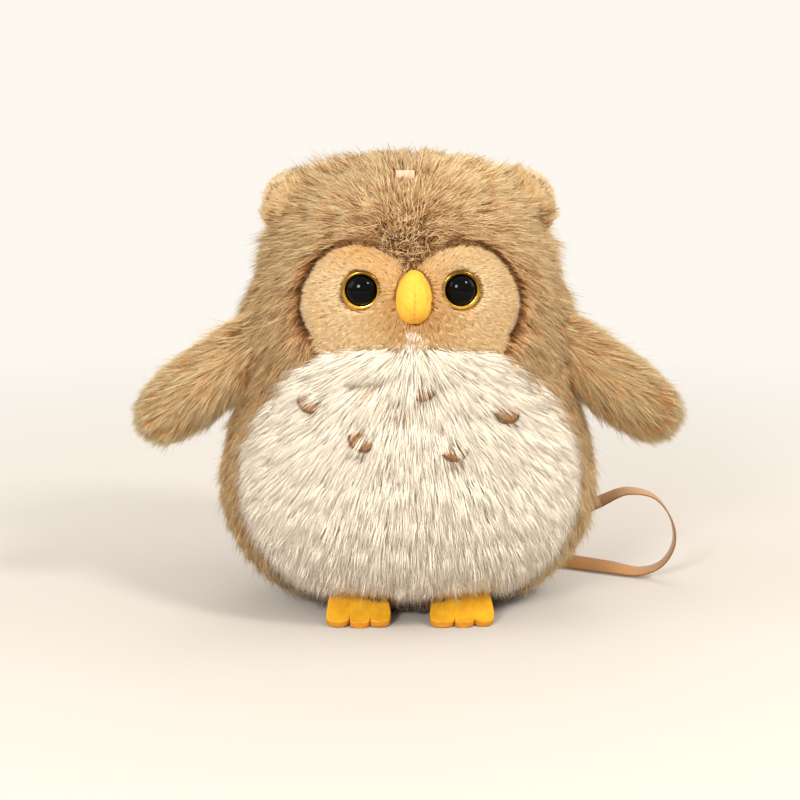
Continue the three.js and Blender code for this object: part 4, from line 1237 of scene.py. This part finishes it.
for name, side, toes in (
        ("left", 1, [(-9.3, 5.7, 0.3), (0.6, 5.2, 0.6), (9.9, 4.9, -0.6)]),
        ("right", -1, [(-9.6, 5.5, -0.8), (0.2, 5.3, 0.5), (9.6, 5.2, -0.2)])):
    tips = foot_outline([(m, r, sole_length - 4 + reach) for m, r, reach in toes])
    root = 12.4
    plan = tips + [(15.2, sole_length - 8), (14.6, sole_length - 13), (root, 2), (-root, 2),
                   (-14.6, sole_length - 13), (-15.2, sole_length - 8)]
    bm = bmesh.new()
    verts = [bm.verts.new((x, s, -1.45)) for x, s in plan]
    edges = [bm.edges.new((a, b)) for a, b in zip(verts, verts[1:] + verts[:1])]
    bmesh.ops.contextual_create(bm, geom=edges)
    grown = bmesh.ops.extrude_face_region(bm, geom=bm.faces[:])["geom"]
    bmesh.ops.translate(bm, verts=[g for g in grown if isinstance(g, bmesh.types.BMVert)], vec=(0, 0, 2.9))
    rim = [e for e in bm.edges if len(e.link_faces) == 2
           and abs(e.link_faces[0].normal.z - e.link_faces[1].normal.z) > 0.5]
    bm.normal_update()
    rim = [e for e in bm.edges if len(e.link_faces) == 2
           and (abs(e.link_faces[0].normal.z) > 0.9) != (abs(e.link_faces[1].normal.z) > 0.9)]
    bmesh.ops.bevel(bm, geom=rim, offset=0.55, segments=3, profile=0.5, affect="EDGES", material=-1)
    for s in np.arange(3, sole_length, 0.7):
        bmesh.ops.bisect_plane(bm, geom=bm.verts[:] + bm.edges[:] + bm.faces[:], plane_co=(0, s, 0),
                               plane_no=(0, 1, 0))
    for x in np.arange(-15, 15.1, 1.0):
        bmesh.ops.bisect_plane(bm, geom=bm.verts[:] + bm.edges[:] + bm.faces[:], plane_co=(x, 0, 0),
                               plane_no=(1, 0, 0))
    bmesh.ops.triangulate(bm, faces=[f for f in bm.faces if len(f.verts) > 4])
    darkened = bm.verts.layers.float.new("darkened")
    for vert in bm.verts:
        x, s, t = vert.co
        # Painted shade: the sides of each foot are darker.
        vert[darkened] = 1 - min(max((abs(t) - 1.0) / 0.42, 0), 1) if t < 1.4 else 0.0
        place, up = sole(np.interp(s, sole_gone, sole_stops))
        wave = 0.35 * lumps.noise(Vector((x, s, 7 * side)) * 0.16) + 0.12 * lumps.noise(Vector((x, s, t)) * 0.7)
        vert.co = (place + Vector((side * 24.3 + x, 0, 0)) + up * (t + wave)) * MM
        vert.co.z = max(vert.co.z, 0.2 * MM)
    bmesh.ops.recalc_face_normals(bm, faces=bm.faces)
    piece_from(bm, f"foot_{name}_felt", [foot_felt], "body", [f"foot_{name}"], 60)

# %% [markdown]
# ## Breast patches
# Five small patches of short brown plush are sewn on the belly. Their lower edges are oversewn in dark
# thread, and belly hair falls over their upper halves.

# %% Breast patches
mark_pile = pile_material("mark pile", (84, 44, 12), (160, 104, 42), (146, 92, 36), (216, 160, 90))


def front_depth(across, up):
    """Depth of the body's front in mm, at a place in the front view."""
    width, depth = girth(np.array([up * MM]))
    share = min(abs(across) * MM / width[0], 0.999)
    return -float(depth[0]) / MM * math.sqrt(1 - share**2)


for i, (name, (across, up, tilt, cover)) in enumerate(marks.items()):
    rng = np.random.default_rng(60 + i)
    place = np.array([[across, front_depth(across, up), up]]) * MM
    normal = Vector(out_of_body(place)[0])
    wide = Vector((1, 0, 0)) * math.cos(math.radians(tilt)) + Vector((0, 0, 1)) * math.sin(math.radians(tilt))
    wide = (wide - normal * wide.dot(normal)).normalized()
    high = normal.cross(wide) * -1
    if high.z < 0:
        high = -high
    lean = math.radians(24)
    normal, high = normal * math.cos(lean) + high * math.sin(lean), high * math.cos(lean) - normal * math.sin(lean)
    centre = Vector(place[0]) - normal * (2.1 + 5 * max(cover - 1, 0)) * MM
    frame_matrix = Matrix.Translation(centre) @ Matrix((wide, high, normal)).transposed().to_4x4()
    bm = bmesh.new()
    bmesh.ops.create_uvsphere(bm, u_segments=32, v_segments=16, radius=1)
    bmesh.ops.scale(bm, verts=bm.verts, vec=(5.9 * MM, 4.7 * MM, 1.2 * MM))
    bmesh.ops.transform(bm, verts=bm.verts, matrix=frame_matrix)
    piece_from(bm, f"breast_mark_{name}_cloth", [thread_brown], "body", [f"breast_mark_{name}"], 60)
    count = 900
    radius, angle = np.sqrt(rng.random(count)), rng.random(count) * 2 * math.pi
    flat = np.stack([5.4 * radius * np.cos(angle), 4.3 * radius * np.sin(angle)], 1) * MM
    root = (np.array(centre)[None] + flat[:, :1] * np.array(wide) + flat[:, 1:] * np.array(high)
            + np.array(normal) * 0.8 * MM)
    down = -np.array(high) + np.array(normal) * 0.9 + 0.25 * rng.normal(0, 1, (count, 3))
    tip = root + unit(down) * (2.4 * MM) * rng.uniform(0.7, 1.1, count)[:, None]
    middle = (root + tip) / 2 + np.array(normal) * 0.5 * MM
    along = unit(tip - root)
    sideways = unit(np.cross(along, np.array(normal)[None]))
    mesh = stamp(f"breast_mark_{name}_pile", root, middle, tip, sideways, np.cross(sideways, along),
                 np.full(count, 0.4 * MM), np.clip(rng.normal(0.5, 0.2, count), 0.02, 0.98))
    mesh.materials.append(mark_pile)
    pile = bpy.data.objects.new(mesh.name, mesh)
    scene.collection.objects.link(pile)
    settle(pile, "body", [f"breast_mark_{name}"])
    runs = []
    for angle in np.radians(np.arange(190, 351, 8)):
        start = frame_matrix @ (Vector((5.3 * math.cos(angle), 4.2 * math.sin(angle), 2.5)) * MM)
        end = frame_matrix @ (Vector((6.5 * math.cos(angle), 5.5 * math.sin(angle), 2.1)) * MM)
        runs.append((start, end))
    stitches(runs, 0.3 * MM, f"breast_mark_{name}_stitches", thread_brown)

# %% [markdown]
# ## Crown tab
# A short folded end of pale woven tape sticks out of the seam on top of the head.

# %% Crown tab
tape, tree, shader = material("woven tape", 0.75, Sheen_Weight=0.2)
place = object_coordinates(tree, (1, 0.4, 1))
weave = tree.nodes.new("ShaderNodeTexWave")
weave.inputs["Scale"].default_value = 900
weave.inputs["Distortion"].default_value = 0.4
tree.links.new(place, weave.inputs["Vector"])
tree.links.new(mix(tree, weave.outputs["Fac"], shade_of(228, 192, 166), shade_of(206, 168, 140)),
               shader.inputs["Base Color"])
bump(tree, shader, weave.outputs["Fac"], 0.0002, 0.5)
bm = bmesh.new()
bmesh.ops.create_cube(bm, size=1)
bmesh.ops.scale(bm, verts=bm.verts, vec=(8.6 * MM, 1.8 * MM, 8 * MM))
bmesh.ops.bevel(bm, geom=bm.edges[:], offset=0.5 * MM, segments=3, profile=0.5, affect="EDGES", material=-1)
bmesh.ops.translate(bm, verts=bm.verts, vec=Vector((-2.2, -34, 207.5)) * MM)
piece_from(bm, "crown_tab_tape", [tape], "body", ["crown_tab"], 60)

# %% [markdown]
# ## Filling
# Loose white fibre fills head, body, wings and beak. It never shows, but the parts of a toy can be taken
# apart, so it has its own lumpy surface.

# %% Filling
fibre, tree, shader = material("loose fibre", 0.95, Sheen_Weight=0.3)
place = object_coordinates(tree)
tufts = noise(tree, place, 120, 6, 0.75)
tree.links.new(mix(tree, spread(tree, tufts, 0.3, 0.7), shade_of(226, 224, 216), shade_of(252, 251, 247)),
               shader.inputs["Base Color"])
bump(tree, shader, tufts, 0.002, 0.7)
for node, body, depth in (("body_filling", "body", 2.5), ("head_filling", "body", 2.5), ("beak_filling", "body", 0.3),
                          ("wing_left_filling", "wing_left", 0.7), ("wing_right_filling", "wing_right", 0.7)):
    bm = merged_copy(node)
    long_edges = [e for e in bm.edges if e.calc_length() > 6 * MM]
    bmesh.ops.subdivide_edges(bm, edges=long_edges, cuts=1, use_grid_fill=True)
    bm.normal_update()
    shifts = [vert.normal * (-depth * MM * (0.5 + lumps.noise(vert.co * 60))) for vert in bm.verts]
    for vert, shift in zip(bm.verts, shifts):
        vert.co += shift
    piece_from(bm, node + "_fibre", [fibre], body, [node], 80)

# %% [markdown]
# ## Floor and light
# A plain pale floor and big soft lamps, the main one high on the right, as in the photograph.

# %% Floor
backdrop = shade_of(253, 248, 240)
floor_material, tree, shader = material("floor", 0.9, Specular_IOR_Level=0.0)
distance = tree.nodes.new("ShaderNodeVectorMath")
distance.operation = "LENGTH"
tree.links.new(object_coordinates(tree), distance.inputs[0])
seen = tree.nodes.new("ShaderNodeLightPath")
far = tree.nodes.new("ShaderNodeMath")
far.operation = "MULTIPLY"
tree.links.new(spread(tree, distance.outputs["Value"], 0.2, 0.75), far.inputs[0])
tree.links.new(seen.outputs["Is Camera Ray"], far.inputs[1])
tree.links.new(mix(tree, far.outputs[0], shade_of(194, 188, 181), (0, 0, 0, 1)), shader.inputs["Base Color"])
tree.links.new(mix(tree, far.outputs[0], (0, 0, 0, 1), backdrop), shader.inputs["Emission Color"])
shader.inputs["Emission Strength"].default_value = 1
bm = bmesh.new()
bmesh.ops.create_grid(bm, x_segments=1, y_segments=1, size=80)
mesh = bpy.data.meshes.new("floor")
bm.to_mesh(mesh)
bm.free()
mesh.materials.append(floor_material)
floor = bpy.data.objects.new("floor", mesh)
scene.collection.objects.link(floor)


# %% Light
def lamp(name, place, size, power, colour=(1, 1, 1)):
    """A square area lamp that looks at the owl."""
    data = bpy.data.lights.new(name, "AREA")
    data.shape = "SQUARE"
    data.size, data.energy, data.color = size, power, colour
    made = bpy.data.objects.new(name, data)
    made.location = place
    made.rotation_mode = "QUATERNION"
    made.rotation_quaternion = (Vector((0, 0, 0.1)) - Vector(place)).to_track_quat("-Z", "Y")
    scene.collection.objects.link(made)


lamp("key", (0.9, -0.9, 1.2), 0.3, 16, (1, 0.97, 0.92))
lamp("front", (-0.6, -1.6, 0.75), 0.4, 26, (1, 0.98, 0.95))
lamp("left side", (-1.5, -0.4, 0.9), 1.0, 9)
lamp("right side", (1.5, 0.1, 0.9), 1.0, 8)
lamp("back", (0.1, 1.2, 1.3), 1.0, 6)
world = bpy.data.worlds.new("world")
scene.world = world
world.use_nodes = True
tree = world.node_tree
background = tree.nodes["Background"]
background.inputs["Strength"].default_value = 1
seen = tree.nodes.new("ShaderNodeLightPath")
tree.links.new(mix(tree, seen.outputs["Is Camera Ray"], (0.88, 0.83, 0.76, 1), backdrop), background.inputs["Color"])
scene.view_settings.view_transform = "Standard"
